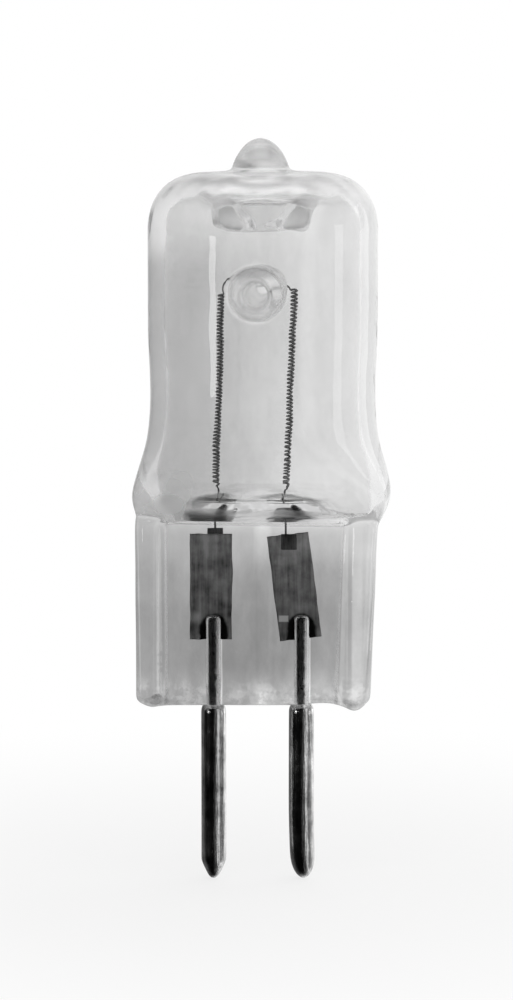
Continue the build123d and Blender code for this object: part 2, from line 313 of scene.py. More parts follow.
def new_finish(name):
    """A material with an empty node tree, its shader and its output."""
    finish = bpy.data.materials.new(name)
    finish.use_nodes = True
    tree = finish.node_tree
    tree.nodes.clear()
    shader = wire_node(tree, "ShaderNodeBsdfPrincipled")
    wire_node(tree, "ShaderNodeOutputMaterial", {"Surface": shader.outputs["BSDF"]})
    return finish, tree, shader


def vector_step(tree, operation, a, b, c=(0, 0, 0)):
    """One step of arithmetic on vectors or colours."""
    node = wire_node(tree, "ShaderNodeVectorMath", {0: a, 1: b, 2: c}, operation=operation)
    return node.outputs["Vector"]


def object_place(tree):
    """Where a point lies: a vector in metres, the same in millimetres, and that one's X, Y and Z."""
    place = wire_node(tree, "ShaderNodeTexCoord").outputs["Object"]
    place_mm = vector_step(tree, "MULTIPLY", place, (1 / MM, 1 / MM, 1 / MM))
    axes = wire_node(tree, "ShaderNodeSeparateXYZ", {"Vector": place_mm}).outputs
    return place, place_mm, axes["X"], axes["Y"], axes["Z"]


print("finishes read object coordinates")

# %% [markdown]
# Three more helpers shape what a finish does. One measures the reach of a soft ellipse, which marks a place
# on the bulb, one is a cloudy noise, which breaks up what would be too even, and one turns a tone into a
# grey, because neither this quartz nor these metals have a hue.

# %% Places, patterns and greys


def reach_from(tree, place_mm, centre, half_sizes):
    """1 on a soft ellipse round a centre, less inside; an axis without a half size doesn't count."""
    scale = [1 / half if half else 0 for half in half_sizes]
    shift = [-middle * share for middle, share in zip(centre, scale)]
    return length(tree, vector_step(tree, "MULTIPLY_ADD", place_mm, scale, shift))


def pattern(tree, place, scale, detail, roughness=0.5):
    """Cloudy noise in metres; gives its value as Fac and three of them as Color."""
    settings = {"Vector": place, "Scale": scale, "Detail": detail, "Roughness": roughness}
    return wire_node(tree, "ShaderNodeTexNoise", settings).outputs


def grey(tree, tone):
    """A colour without hue."""
    return wire_node(tree, "ShaderNodeCombineColor", {0: tone, 1: tone, 2: tone}).outputs["Color"]


print("helpers for finishes: reach_from, pattern, grey")

# %% [markdown]
# Quartz is clear, yet against white the bulb reads as a light grey body, darker in the solid seal than in
# the hollow tube. One plain tint can't give that, and a real absorbing volume would render slowly and get
# lost when the model is exported. So the tint of the surface is worked out from the place on the bulb, as
# one tone after another, and the tones are multiplied at the end. Most of them are painted shade or painted
# light, not a colour of the quartz. The first is the tube's grey, painted shade that is darker on the left,
# up to the shoulder.

# %% Glass: painted shade of the tube
glass_finish, tree, shader = new_finish("clear_quartz")
place, place_mm, x, y, z = object_place(tree)
left_painted_shade = span(tree, z, 25, 30, 0.69, 0.87)
tube_painted_shade = span(tree, x, -6, 4.5, left_painted_shade, 0.885)
print("tube tone uses", len(tree.nodes), "nodes")

# %% [markdown]
# The seal is solid, and it is painted darker than the tube, as painted shade: darkest round the foils' lower
# ends, lighter at the foot and towards the hollow. The tones are listed by height in millimetres.

# %% Glass: painted shade up the seal
PRESS_TOP = 12.5
PRESS_PAINTED_SHADE = [(0.0, 0.6), (1.0, 0.56), (2.6, 0.45), (5.0, 0.45), (7.5, 0.55), (10.0, 0.68), (12.2, 1.0)]
press_painted_shade = tone_ramp(tree, z, 0.0, PRESS_TOP, PRESS_PAINTED_SHADE, "EASE")
print("seal tones at", len(PRESS_PAINTED_SHADE), "heights")

# %% [markdown]
# The ribs along the seal's sides act as lenses, and the fine bright and dark lines they show are painted in
# as painted highlights and painted shade; the web between the foils is painted a little darker, as painted
# shade. The tones are listed across the seal in millimetres. A ramp holds tones up to one, so they are
# halved in it and doubled after it. They fade out towards the foot and into the flare.

# %% Glass: painted lines along the ribs
PRESS_HALF_WIDTH = 7.5
RIB_PAINTED_LINES = [
    (-7.5, 1.0), (-7.2, 1.5), (-6.9, 1.3), (-6.6, 1.1), (-6.5, 1.0), (-6.12, 0.95), (-6.02, 1.7),
    (-5.94, 1.5), (-5.84, 0.8), (-5.5, 1.1), (-4.8, 1.1), (-0.5, 0.9), (-0.28, 0.86), (-0.05, 0.66),
    (0.6, 0.66), (0.9, 0.82), (1.2, 0.9), (4.7, 0.9), (5.3, 0.9), (5.38, 1.25), (5.46, 0.8),
    (5.62, 0.85), (5.7, 1.6), (6.2, 1.6), (6.35, 1.2), (6.55, 1.25), (7.5, 1.1),
]
half_painted_lines = [(place_x, tone / 2) for place_x, tone in RIB_PAINTED_LINES]
half_painted_line = tone_ramp(tree, x, -PRESS_HALF_WIDTH, PRESS_HALF_WIDTH, half_painted_lines, "LINEAR")
in_press = span(tree, z, 6.5, 12.2, 1.0, 0.0)
above_foot = span(tree, z, 0.2, 2.6, 0.2, 1.0)
rib_painted_lines = mix(tree, times(tree, in_press, above_foot), 1.0, times(tree, half_painted_line, 2.0))
print("rib tones at", len(RIB_PAINTED_LINES), "places")

# %% [markdown]
# Where the wall is seen edge on, the outline of the tube is drawn by a darker rim, which is painted shade. A
# layer weight finds such places and stays right from any side. The tube's axis lies a third of a millimetre
# to the right of the pins' middle, and the rim is measured from it. The rim fades out over the flare and on
# the left shoulder, and is kept to the outermost wall, so that the dimple and the drip inside get none.

# %% Glass: painted dark rim
BULB_X = 0.32
side_depth = span(tree, x, -4, 4, 0.58, 0.68, "LINEAR")
shoulder_depth = span(tree, x, -4, 4, 1.0, 0.75)
rim_shade_depth = span(tree, z, 12, 16, 1.0, side_depth, "LINEAR")
rim_shade_depth = span(tree, z, 26.5, 28.5, rim_shade_depth, shoulder_depth)
off_middle = reach_from(tree, place_mm, (BULB_X, 0, 0), (1, 1, None))
rim_shade_depth = span(tree, off_middle, 6.2, 6.6, 1.0, rim_shade_depth, "LINEAR")
edge_on = wire_node(tree, "ShaderNodeLayerWeight", {"Blend": 0.5}).outputs["Facing"]
painted_rim_shade = span(tree, edge_on, 0.46, 0.5, 1.0, rim_shade_depth)
print("glass has", len(tree.nodes), "nodes with its rim")

# %% [markdown]
# Drawn and pressed quartz is never even: faint clouds run up the tube, and stronger ones lie in the seal.
# Noise that is stretched upwards gives them. Along the foot, where the jaws pinched the glass off, brighter
# patches are strewn by a finer noise; they are painted highlights, standing in for glints.

# %% Glass: clouds and painted glints on the foot
stretched = wire_node(tree, "ShaderNodeMapping", {"Vector": place, "Scale": (1.0, 0.15, 0.45)})
clouds = pattern(tree, stretched.outputs["Vector"], 420.0, 7.0, 0.68)
cloud_dark = span(tree, in_press, 0.0, 1.0, 0.9, 0.72, "LINEAR")
cloud_light = span(tree, in_press, 0.0, 1.0, 1.02, 1.15, "LINEAR")
cloud_tone = span(tree, clouds["Fac"], 0.3, 0.7, cloud_dark, cloud_light, "LINEAR")

pinches = pattern(tree, place, 1100.0, 3.0, 0.6)["Fac"]
painted_foot_glints = span(tree, pinches, 0.5, 0.62, 0.0, 0.7, "LINEAR")
low_down = span(tree, z, 0.6, 1.5, 1.0, 0.0, "LINEAR")
foot_glint_tone = calc(tree, "MULTIPLY_ADD", painted_foot_glints, low_down, 1.0)
print("glass has", len(tree.nodes), "nodes with its clouds")

# %% [markdown]
# Round each leg of the filament a dark patch is painted on the hollow's floor: painted shade for what the
# bent glass shows of the metal below. Leaving it to refraction alone gives faint, broken shapes, so it is
# tinted: each patch is a flat ellipse, and the clouds push its outline about so that it isn't a clean one.

# %% Glass: painted dark patches at the legs
PAINTED_LEG_PATCHES = [((-1.85, 0.3, 12.4), (1.7, 1.5, 0.52)), ((2.9, 0.3, 12.3), (2.4, 1.5, 0.44))]
pushed = vector_step(tree, "MULTIPLY_ADD", clouds["Color"], (2.0, 0.6, 0.5), place_mm)
leg_patch_reaches = [reach_from(tree, pushed, centre, half_sizes) for centre, half_sizes in PAINTED_LEG_PATCHES]
off_leg_patch = calc(tree, "MINIMUM", *leg_patch_reaches)
painted_leg_patch_shade = span(tree, off_leg_patch, 0.75, 1.1, 0.035, 1.0, "LINEAR")
print("painted_dark_patches:", len(PAINTED_LEG_PATCHES))

# %% [markdown]
# The glass doesn't wet the thick leads, and the skin of air beside each of them shows as a bright line
# along its right side; here that line is a painted highlight. It runs from the foot up to the weld on the
# foil.

# %% Glass: painted gleam beside the leads
LEAD_X = 2.665


def off_nearest_lead(tree, x):
    """How far to the right of the nearer lead's middle a place lies."""
    return calc(tree, "MULTIPLY_ADD", calc(tree, "SIGN", x), -LEAD_X, x)


beside = calc(tree, "COMPARE", off_nearest_lead(tree, x), 0.36, 0.17)
below_weld = calc(tree, "LESS_THAN", z, 5.3)
painted_lead_gleam = calc(tree, "MULTIPLY_ADD", times(tree, beside, below_weld), 0.9, 1.0)
print("leads stand", 2 * LEAD_X, "mm apart")

# %% [markdown]
# The tip is painted lighter than the tube, and so is the drip inside it, round the hole that the exhaust
# tube left: painted light.
# A few grey smudges lie in the crown at the tip's foot, where the flame melted it shut.

# %% Glass: painted light on the tip and hole, and smudges
tip_painted_light = span(tree, z, 32.0, 32.5, 1.0, 1.22)
hole_painted_light = span(tree, off_middle, 1.4, 1.55, 1.3, 1.0)
hole_painted_light = span(tree, z, 31.8, 32.0, hole_painted_light, 1.0)
smudges = pattern(tree, place, 750.0, 3.0, 0.55)["Fac"]
smudge_tone = span(tree, smudges, 0.5, 0.66, 1.0, 0.5)
smudge_tone = span(tree, z, 31.2, 31.9, 1.0, smudge_tone)
smudge_tone = span(tree, z, 32.15, 32.4, smudge_tone, 1.0)
print("glass has", len(tree.nodes), "nodes with its tip")

# %% [markdown]
# The dimple is a finger of thin glass that leans a little. Its places are measured from its own axis, and
# those past its blunt end are pushed out of reach. It is painted lighter than the tube behind it, as painted
# light, with painted shade in a darker crescent on top.

# %% Glass: dimple
FINGER_X, FINGER_Z, FINGER_LEAN = 0.45, 25.25, -0.09
finger_x = calc(tree, "SUBTRACT", calc(tree, "MULTIPLY_ADD", y, FINGER_LEAN, x), FINGER_X)
finger_z = calc(tree, "SUBTRACT", z, FINGER_Z)
past_end = span(tree, y, 0.5, 2.0, 0.0, 5.0, "LINEAR")
from_axis = wire_node(tree, "ShaderNodeCombineXYZ", {"X": finger_x, "Y": past_end, "Z": finger_z})
off_axis = length(tree, from_axis.outputs["Vector"])
finger_painted_light = span(tree, off_axis, 1.5, 1.9, 1.32, 1.0)
painted_crescent_shade = span(tree, finger_z, 0.7, 1.1, 1.0, 0.62)
painted_crescent_shade = span(tree, off_axis, 1.5, 1.6, painted_crescent_shade, 1.0)
print("glass has", len(tree.nodes), "nodes with its dimple")

# %% [markdown]
# Fire-polished glass is smooth, and its roughness is zero nearly everywhere. Where the flame or the jaws
# worked it, fine ripples blur what is seen through it: in the crown, the dimple, the left corner of the
# flare, the foot and the floor under the painted dark patches. Roughness blurs in the same way without
# modelling each ripple.

# %% Glass: frost
frosts = [
    span(tree, z, 29.5, 32.4, 0.0, 0.26),
    span(tree, off_axis, 1.5, 1.9, 0.26, 0.0),
    span(tree, reach_from(tree, place_mm, (-5.3, 0, 12.5), (1.3, 10, 1)), 0.6, 1.1, 0.35, 0.0),
    span(tree, z, 0.5, 1.0, 0.25, 0.0),
    span(tree, off_leg_patch, 0.9, 1.3, 0.16, 0.0),
]
frost = frosts[0]
for other in frosts[1:]:
    frost = calc(tree, "MAXIMUM", frost, other)
print("frosted places:", len(frosts))

# %% [markdown]
# Now the tones are multiplied, and the painted rim shade comes last, with the result kept between black and
# white. A gentle bump stands for the ripple that drawing leaves in the tube: it makes the streaks of light
# waver. Transmission and the refractive index of quartz are the same all over, so they are set on the shader
# itself.

# %% Glass finish
tint = times(
    tree, tube_painted_shade, press_painted_shade, rib_painted_lines, cloud_tone, foot_glint_tone, painted_leg_patch_shade, painted_lead_gleam,
    tip_painted_light, hole_painted_light, smudge_tone, finger_painted_light, painted_crescent_shade,
)
clamped = wire_node(tree, "ShaderNodeMath", {0: tint, 1: painted_rim_shade}, operation="MULTIPLY", use_clamp=True)
ripple = pattern(tree, place, 600.0, 2.0, 0.4)["Fac"]
bump = wire_node(tree, "ShaderNodeBump", {"Height": ripple, "Strength": 0.45, "Distance": 0.05 * MM})
feed(tree, shader, {
    "Base Color": grey(tree, clamped.outputs["Value"]),
    "Roughness": frost,
    "Normal": bump.outputs["Normal"],
    "IOR": 1.46,
    "Transmission Weight": 1.0,
})
print("glass finish has", len(tree.nodes), "nodes")

# %% [markdown]
# All the metal here is drawn or rolled, so it shares one effect: fine streaks along its length and slow
# patches, which change its shade and its gloss. A node group holds the effect, and each metal places it
# with its own values.

# %% Drawn metal effect
METAL_LEVELS = ("Dark", "Light", "Smooth", "Rough", "Grain")
drawn_metal = bpy.data.node_groups.new("drawn_metal", "ShaderNodeTree")
for name in METAL_LEVELS:
    drawn_metal.interface.new_socket(name, in_out="INPUT", socket_type="NodeSocketFloat")
for name, kind in (("Shade", "NodeSocketColor"), ("Gloss", "NodeSocketFloat"), ("Height", "NodeSocketFloat")):
    drawn_metal.interface.new_socket(name, in_out="OUTPUT", socket_type=kind)
tree = drawn_metal
given = wire_node(tree, "NodeGroupInput").outputs
place = wire_node(tree, "ShaderNodeTexCoord").outputs["Object"]
drawn = wire_node(tree, "ShaderNodeMapping", {"Vector": place, "Scale": (1.0, 1.0, 0.06)})
streaks = pattern(tree, drawn.outputs["Vector"], given["Grain"], 4.0, 0.6)["Fac"]
patches = pattern(tree, place, 900.0, 3.0, 0.6)["Fac"]
both = calc(tree, "ADD", streaks, patches)
shade = span(tree, both, 0.7, 1.3, given["Dark"], given["Light"], "LINEAR")
gloss = span(tree, patches, 0.3, 0.7, given["Smooth"], given["Rough"], "LINEAR")
wire_node(tree, "NodeGroupOutput", {"Shade": grey(tree, shade), "Gloss": gloss, "Height": streaks})
print("drawn metal effect has", len(tree.nodes), "nodes")

# %% [markdown]
# The pins are plated and bright, the weld tabs are nearly black from the heat, and the tungsten of the
# filament is a dull dark grey. These three need nothing but the shared effect.

# %% Plain metals


def metal_finish(name, dark, light, smooth, rough, grain, relief):
    """A metal from the drawn metal effect; gives the material, its tree and shader, and its shade."""
    finish, tree, shader = new_finish(name)
    levels = dict(zip(METAL_LEVELS, (dark, light, smooth, rough, grain)))
    effect = wire_node(tree, "ShaderNodeGroup", levels, node_tree=drawn_metal).outputs
    bump = wire_node(
        tree, "ShaderNodeBump", {"Height": effect["Height"], "Strength": 0.4, "Distance": relief}
    )
    feed(tree, shader, {
        "Base Color": effect["Shade"],
        "Roughness": effect["Gloss"],
        "Normal": bump.outputs["Normal"],
        "Metallic": 1.0,
    })
    return finish, tree, shader, effect["Shade"]


pin_finish = metal_finish(
    "plated_pin", dark=0.25, light=1.0, smooth=0.08, rough=0.2, grain=8000.0, relief=0.05 * MM
)[0]
tab_finish = metal_finish(
    "weld_tab", dark=0.0, light=0.14, smooth=0.35, rough=0.6, grain=9000.0, relief=0.02 * MM
)[0]
wire_finish = metal_finish(
    "tungsten_wire", dark=0.10, light=0.20, smooth=0.35, rough=0.5, grain=8000.0, relief=0.005 * MM
)[0]
print("plain metals:", [finish.name for finish in (pin_finish, tab_finish, wire_finish)])

# %% [markdown]
# The lead wires are bright on their right side only: the rest is painted nearly black, as painted shade. The
# edge of the painted shade is a line along the wire, and a fine noise makes it ragged.

# %% Lead wire
lead_finish, tree, shader, shade = metal_finish(
    "lead_wire", dark=0.9, light=1.0, smooth=0.2, rough=0.35, grain=6000.0, relief=0.01 * MM
)
place, _, x, _, _ = object_place(tree)
edge_noise = pattern(tree, place, 2500.0, 3.0)["Fac"]
shade_edge = calc(tree, "MULTIPLY_ADD", edge_noise, 0.45, off_nearest_lead(tree, x))
painted_lead_shade = span(tree, shade_edge, 0.32, 0.44, 0.008, 1.0, "LINEAR")
feed(tree, shader, {"Base Color": vector_step(tree, "MULTIPLY", shade, painted_lead_shade)})
print("lead finish has", len(tree.nodes), "nodes")

# %% [markdown]
# The foils are rolled molybdenum. An arch round the end of each lead is painted black on them, as painted
# shade for the dark skin of air that the glass leaves there: the arch is what lies near the lead's line, up
# to the height where it closes over the end. Noise makes its border ragged.

# %% Foil: painted shade at the weld
ARCH_SHADE_SPRING = 4.6
foil_finish, tree, shader, shade = metal_finish(
    "sealing_foil", dark=0.06, light=0.46, smooth=0.35, rough=0.55, grain=3000.0, relief=0.03 * MM
)
place, place_mm, x, _, z = object_place(tree)
aside = calc(tree, "SUBTRACT", calc(tree, "ABSOLUTE", x), LEAD_X)
above = calc(tree, "MAXIMUM", calc(tree, "SUBTRACT", z, ARCH_SHADE_SPRING), 0.0)
from_weld = wire_node(tree, "ShaderNodeCombineXYZ", {"X": aside, "Y": above}).outputs["Vector"]
ragged = pattern(tree, place, 1500.0, 2.0)["Fac"]
off_weld = calc(tree, "MULTIPLY_ADD", ragged, 0.3, length(tree, from_weld))
painted_arch_shade = span(tree, off_weld, 0.95, 1.1, 0.03, 1.0, "LINEAR")
arch_shaded_foil = vector_step(tree, "MULTIPLY", shade, painted_arch_shade)
print("painted_arches spring at", ARCH_SHADE_SPRING, "mm")

# %% [markdown]
# A bright patch on the right foil shows where the strip tore and folded at the weld, and a softer pale spot
# lies on the left foil. The first is a box with soft edges, the second a round spot.

# %% Foil: pale patches
TEAR_X, TEAR_Z, TEAR_HALF_WIDTH, TEAR_HALF_HEIGHT = 1.57, 5.18, 0.3, 0.2
LEFT_PALE_SPOT = (-3.64, 0, 5.27)
PALE_PATCH_TONE = (0.9, 0.9, 0.9, 1)


def past_half(tree, value, middle, half):
    """How far a place lies outside a stretch; inside it is below zero."""
    away = calc(tree, "ABSOLUTE", calc(tree, "SUBTRACT", value, middle))
    return calc(tree, "SUBTRACT", away, half)


off_tear = calc(
    tree,
    "MAXIMUM",
    past_half(tree, x, TEAR_X, TEAR_HALF_WIDTH),
    past_half(tree, z, TEAR_Z, TEAR_HALF_HEIGHT),
)
tear = span(tree, off_tear, -0.06, 0.03, 0.85, 0.0)
left_pale_spot = span(tree, reach_from(tree, place_mm, LEFT_PALE_SPOT, (1, None, 1)), 0.05, 0.5, 0.3, 0.0)
pale_patches = calc(tree, "MAXIMUM", tear, left_pale_spot)
foil_tone_with_patches = wire_node(tree, "ShaderNodeMix", {0: pale_patches, 6: arch_shaded_foil, 7: PALE_PATCH_TONE}, data_type="RGBA")
feed(tree, shader, {"Base Color": foil_tone_with_patches.outputs[2]})
print("foil finish has", len(tree.nodes), "nodes")

# %% [markdown]
# Every finished piece goes through the same last steps: a mesh from the bmesh, smooth shading, its finish,
# its place on the one rigid body and the solid that it stands for, which is hidden.

# %% Finishing a piece


def finish_piece(bm, name, finish, replaced, levels=0):
    """Turns a bmesh into a finished piece; levels is how often its faces are divided to round it."""
    mesh = bpy.data.meshes.new(name)
    bm.to_mesh(mesh)
    bm.free()
    mesh.materials.append(finish)
    mesh.shade_smooth()
    piece = bpy.data.objects.new(name, mesh)
    scene.collection.objects.link(piece)
    if levels:
        rounding = piece.modifiers.new("rounding", "SUBSURF")
        rounding.levels = levels
        rounding.render_levels = levels
    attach(piece, "root")
    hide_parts(replaced)
    size = [max(v.co[i] for v in mesh.vertices) - min(v.co[i] for v in mesh.vertices) for i in range(3)]
    print(name, len(mesh.polygons), "faces, size in mm", [round(side / MM, 2) for side in size])


# %% [markdown]
# The glass is one closed outer skin and one closed hollow inside it. A cylinder can't turn from a flat seal
# into a round tube, so both are stacks of rings with the same number of points: the first ring is a circle
# whose points are placed, and every next ring is extruded from the last one. The rings start as the ribbed
# section of the press seal, and turn into the round section of the tube on the way up.

# %% Stacking rings
STEPS = 18
RING = 4 * STEPS


def ring_walk():
    """Side in X, side in Y and place in the quarter, for each point round a ring."""
    walk = [(1, 1, k) for k in range(STEPS)]
    walk += [(-1, 1, STEPS - k) for k in range(STEPS)]
    walk += [(-1, -1, k) for k in range(STEPS)]
    walk += [(1, -1, STEPS - k) for k in range(STEPS)]
    return walk


def start_ring(bm, points):
    """A closed ring through the points."""
    ring = bmesh.ops.create_circle(bm, segments=len(points), radius=MM)["verts"]
    for vertex, point in zip(ring, points):
        vertex.co = point
    return ring


def loop_edges(bm, ring):
    """The edges round a ring."""
    return [bm.edges.get((a, b)) for a, b in zip(ring, ring[1:] + ring[:1])]


def grow_ring(bm, ring, points):
    """Extrudes a ring to new points and gives back the new ring."""
    made = bmesh.ops.extrude_edge_only(bm, edges=loop_edges(bm, ring))["geom"]
    fresh = {v for v in made if isinstance(v, bmesh.types.BMVert)}
    grown = [next(e.other_vert(v) for e in v.link_edges if e.other_vert(v) in fresh) for v in ring]
    for vertex, point in zip(grown, points):
        vertex.co = point
    return grown


def stack_rings(bm, ring, levels):
    """Extrudes a ring through one level after another."""
    for points in levels:
        ring = grow_ring(bm, ring, points)
    return ring


print("points round a ring:", RING)

# %% [markdown]
# A stack of rings is open at both ends. The seal's foot and the hollow's floor are oblong, so a bridge of
# quads closes them from front to back. A small round end is merged to one point.

# %% Closing a stack


def close_flat(bm, ring):
    """Closes an oblong ring with quads from its front half to its back half."""
    half = len(ring) // 2
    back = ring[1:half]
    front = ring[half + 1:]
    edges = [bm.edges.get(pair) for pair in zip(back, back[1:])]
    edges += [bm.edges.get(pair) for pair in zip(front, front[1:])]
    bmesh.ops.bridge_loops(bm, edges=edges)
    bmesh.ops.contextual_create(bm, geom=[ring[0], back[0], front[-1]])
    bmesh.ops.contextual_create(bm, geom=[ring[half], back[-1], front[0]])


def close_round(bm, ring, point):
    """Closes a small round ring to one point."""
    bmesh.ops.pointmerge(bm, verts=ring, merge_co=point)


print("ends are closed flat or to a point")

# %% [markdown]
# The jaws that pressed the seal left its bottom edge uneven: pulled up at the corners, and drooping under
# the right rib. How far each place across it is lifted is listed, and read off straight in between. A small
# ramp from 0 to 1, which many of the shapes below need, fades the lift out above the edge.

# %% Uneven foot
FOOT_LIFT = [
    (-7.4, 0.24), (-6.6, 0.06), (-6.0, 0.0), (2.4, 0.0), (3.3, 0.12), (4.3, 0.14), (4.9, 0.0),
    (5.6, -0.24), (6.2, -0.2), (6.9, 0.25),
]
FOOT_LIFT_TOP = 0.8


def ramp_up(value, low, high):
    """0 below low, 1 above high, and straight in between."""
    return max(0.0, min(1.0, (value - low) / (high - low)))


def foot_lift(x, height):
    """How far a place on the seal lies above its plain level, in millimetres."""
    for (x0, lift0), (x1, lift1) in zip(FOOT_LIFT, FOOT_LIFT[1:]):
        if x0 <= x <= x1:
            lift = lift0 + (lift1 - lift0) * (x - x0) / (x1 - x0)
            return lift * (1 - ramp_up(height, 0, FOOT_LIFT_TOP))
    return 0.0


print("lifts of the foot at", len(FOOT_LIFT), "places")

# %% [markdown]
# The press seal's section is listed for one quarter: how far in from the edge each point lies, and how far
# from the middle of the thickness. The first points go round the thick rib, the next dip to the web, and
# the rest run along the web to the middle. The right edge leans outwards on its way up.

# %% Section of the press seal
SEAL_HEIGHT = 11.4
WEB = 1.4
RIB = 2.15
RIB_TAPER = 0.15
LEFT_EDGE, RIGHT_EDGE, RIGHT_LEAN = 7.35, 6.82, 0.44
RIB_WIDENING = {1: 1.06, -1: 0.92}
RIB_POINTS = [
    (0, 0), (0, 0.55), (0, 1.05), (0.06, 1.5), (0.25, 1.86), (0.55, 2.07), (0.9, 2.14),
    (1.22, 2.08), (1.5, 1.9), (1.72, 1.66), (1.98, 1.48), (2.35, 1.41), (2.9, 1.4), (3.6, 1.4),
]


def seal_ring(height, inset=0.0):
    """Ring of the press seal at a height, drawn in by an inset, all in millimetres."""
    rise = ramp_up(height, 0, SEAL_HEIGHT)
    edges = {1: RIGHT_EDGE + RIGHT_LEAN * rise, -1: LEFT_EDGE}
    rib = RIB - RIB_TAPER * rise
    points = []
    for side, face, k in ring_walk():
        if k < len(RIB_POINTS):
            depth, thick = RIB_POINTS[k]
            x = edges[side] - depth * RIB_WIDENING[side]
        else:
            web_edge = edges[side] - RIB_POINTS[-1][0] * RIB_WIDENING[side]
            x = web_edge * (STEPS - k) / (STEPS - len(RIB_POINTS) + 1)
            thick = WEB
        if thick > WEB:
            thick = WEB + (thick - WEB) * (rib - WEB) / (RIB - WEB)
        points.append(Vector((side * x, face * thick, height)))
    drawn = []
    for k, point in enumerate(points):
        along = points[(k + 1) % RING] - points[k - 1]
        inward = Vector((-along.y, along.x, 0)).normalized()
        lift = Vector((0, 0, foot_lift(point.x, height)))
        drawn.append((point + inward * inset + lift) * MM)
    return drawn


print("seal ring of", len(seal_ring(5)), "points")

# %% [markdown]
# Above the seal the section is a rounded oblong that opens into a circle. Its half width and half depth, as
# shares of the tube's radius, its squareness and its lean are listed at a few shares of the height. They
# are read off on a smooth curve, because straight steps between the rows would show as kinks in the glass.

# %% Sections of the flare
FLARE = [
    (0.00, 1.070, 0.285, 5.0, 0.2),
    (0.12, 1.133, 0.450, 3.4, 0.7),
    (0.27, 1.094, 0.730, 2.3, 1.0),
    (0.45, 1.015, 0.925, 2.0, 1.0),
    (0.70, 0.981, 0.981, 2.0, 1.0),
    (1.00, 0.999, 0.999, 2.0, 1.0),
]
HOLLOW = [
    (0.06, 0.980, 0.100, 2.2, 2.4),
    (0.14, 1.075, 0.310, 2.2, 1.3),
    (0.27, 1.070, 0.660, 2.1, 1.0),
    (0.45, 1.005, 0.905, 2.0, 1.0),
    (0.70, 0.976, 0.976, 2.0, 1.0),
    (1.00, 0.999, 0.999, 2.0, 1.0),
]


def read_smoothly(rows, share):
    """Values at a share of the height, on a smooth curve through the listed rows."""
    last = len(rows) - 1
    k = next((n for n in range(last) if rows[n + 1][0] >= share), last - 1)
    gap = rows[k + 1][0] - rows[k][0]
    t = (share - rows[k][0]) / gap
    values = []
    for column in range(1, len(rows[0])):
        slopes = []
        for n in (k, k + 1):
            before, after = rows[max(n - 1, 0)], rows[min(n + 1, last)]
            slopes.append((after[column] - before[column]) / (after[0] - before[0]) * gap)
        a, b = rows[k][column], rows[k + 1][column]
        values.append(
            (1 + 2 * t) * (1 - t) ** 2 * a + t * (1 - t) ** 2 * slopes[0]
            + t * t * (3 - 2 * t) * b + t * t * (t - 1) * slopes[1]
        )
    return values


print("half way up the flare:", [round(v, 3) for v in read_smoothly(FLARE, 0.5)])

# %% [markdown]
# A ring of the flare has its points close together over the ribs at the bottom, as in the seal, so that the
# ribs run out softly. They spread out evenly by the time the tube is round.

# %% Rings of the flare and the tube
TUBE_RADIUS = 6.88
BORE_RADIUS = 5.88
FLARE_FOOT = SEAL_HEIGHT
TUBE_FOOT = 22.0
EVEN_FROM = 0.7
PRESS_SPREAD = [
    0, 14, 26, 35, 41.5, 45.5, 48, 49.8, 51.2, 52.8, 54.8, 57, 60, 64.5, 69.5, 74.5, 79.5, 84.7, 90,
]


def oblong_ring(height, half_width, half_depth, squareness, centre, even):
    """Ring of a rounded oblong; even is 0 for the seal's spacing of points and 1 for equal steps."""
    points = []
    for side, face, k in ring_walk():
        angle = radians(PRESS_SPREAD[k] * (1 - even) + 90 * k / STEPS * even)
        across, along = cos(angle), sin(angle)
        reach = (across ** squareness + along ** squareness) ** (-1 / squareness)
        x = centre + side * half_width * across * reach
        points.append(Vector((x, face * half_depth * along * reach, height)) * MM)
    return points


def flare_ring(rows, radius, share):
    """Ring of the flare, or of the hollow in it, at a share of its height."""
    width, depth, squareness, lean = read_smoothly(rows, share)
    height = FLARE_FOOT + (TUBE_FOOT - FLARE_FOOT) * share
    even = 1.0 if rows is HOLLOW else ramp_up(share, 0, EVEN_FROM)
    return oblong_ring(height, radius * width, radius * depth, squareness, BULB_X * lean, even)


def round_ring(radius, height):
    """Ring of the round tube."""
    return oblong_ring(height, radius, radius, 2.0, BULB_X, 1.0)


print("flare from", FLARE_FOOT, "to", TUBE_FOOT, "mm")

# %% [markdown]
# The outer skin starts at the rounded foot of the seal. It goes up to the step where the press jaws ended,
# which lies lower on the right, and through the flare. Two rings mix the two sections at the step itself.

# %% Outer skin: seal and flare
SEAL_LEVELS = [
    (0.0, 0.5), (0.05, 0.24), (0.2, 0.07), (0.5, 0.0), (1.2, 0), (2.4, 0), (3.8, 0), (5.4, 0),
    (7.0, 0), (8.4, 0), (9.6, 0), (10.6, 0), (11.08, 0),
]
STEP_MIXES = [(11.27, 0.25), (11.38, 0.7)]
FLARE_SHARES = [
    0.015, 0.045, 0.08, 0.12, 0.16, 0.2, 0.24, 0.28, 0.33, 0.38, 0.44, 0.51, 0.59, 0.68, 0.78, 0.89, 1.0,
]
STEP_HEIGHT, STEP_REACH, STEP_SLOPE, STEP_PIVOT = 11.3, 1.2, 0.02, -3


def step_ring(height, share):
    """Ring at the step, a share of the way from the seal's section to the flare's."""
    flare_level = flare_ring(FLARE, TUBE_RADIUS, 0.0)
    for point in flare_level:
        point.z = height * MM
    return [a.lerp(b, share) for a, b in zip(seal_ring(height), flare_level)]


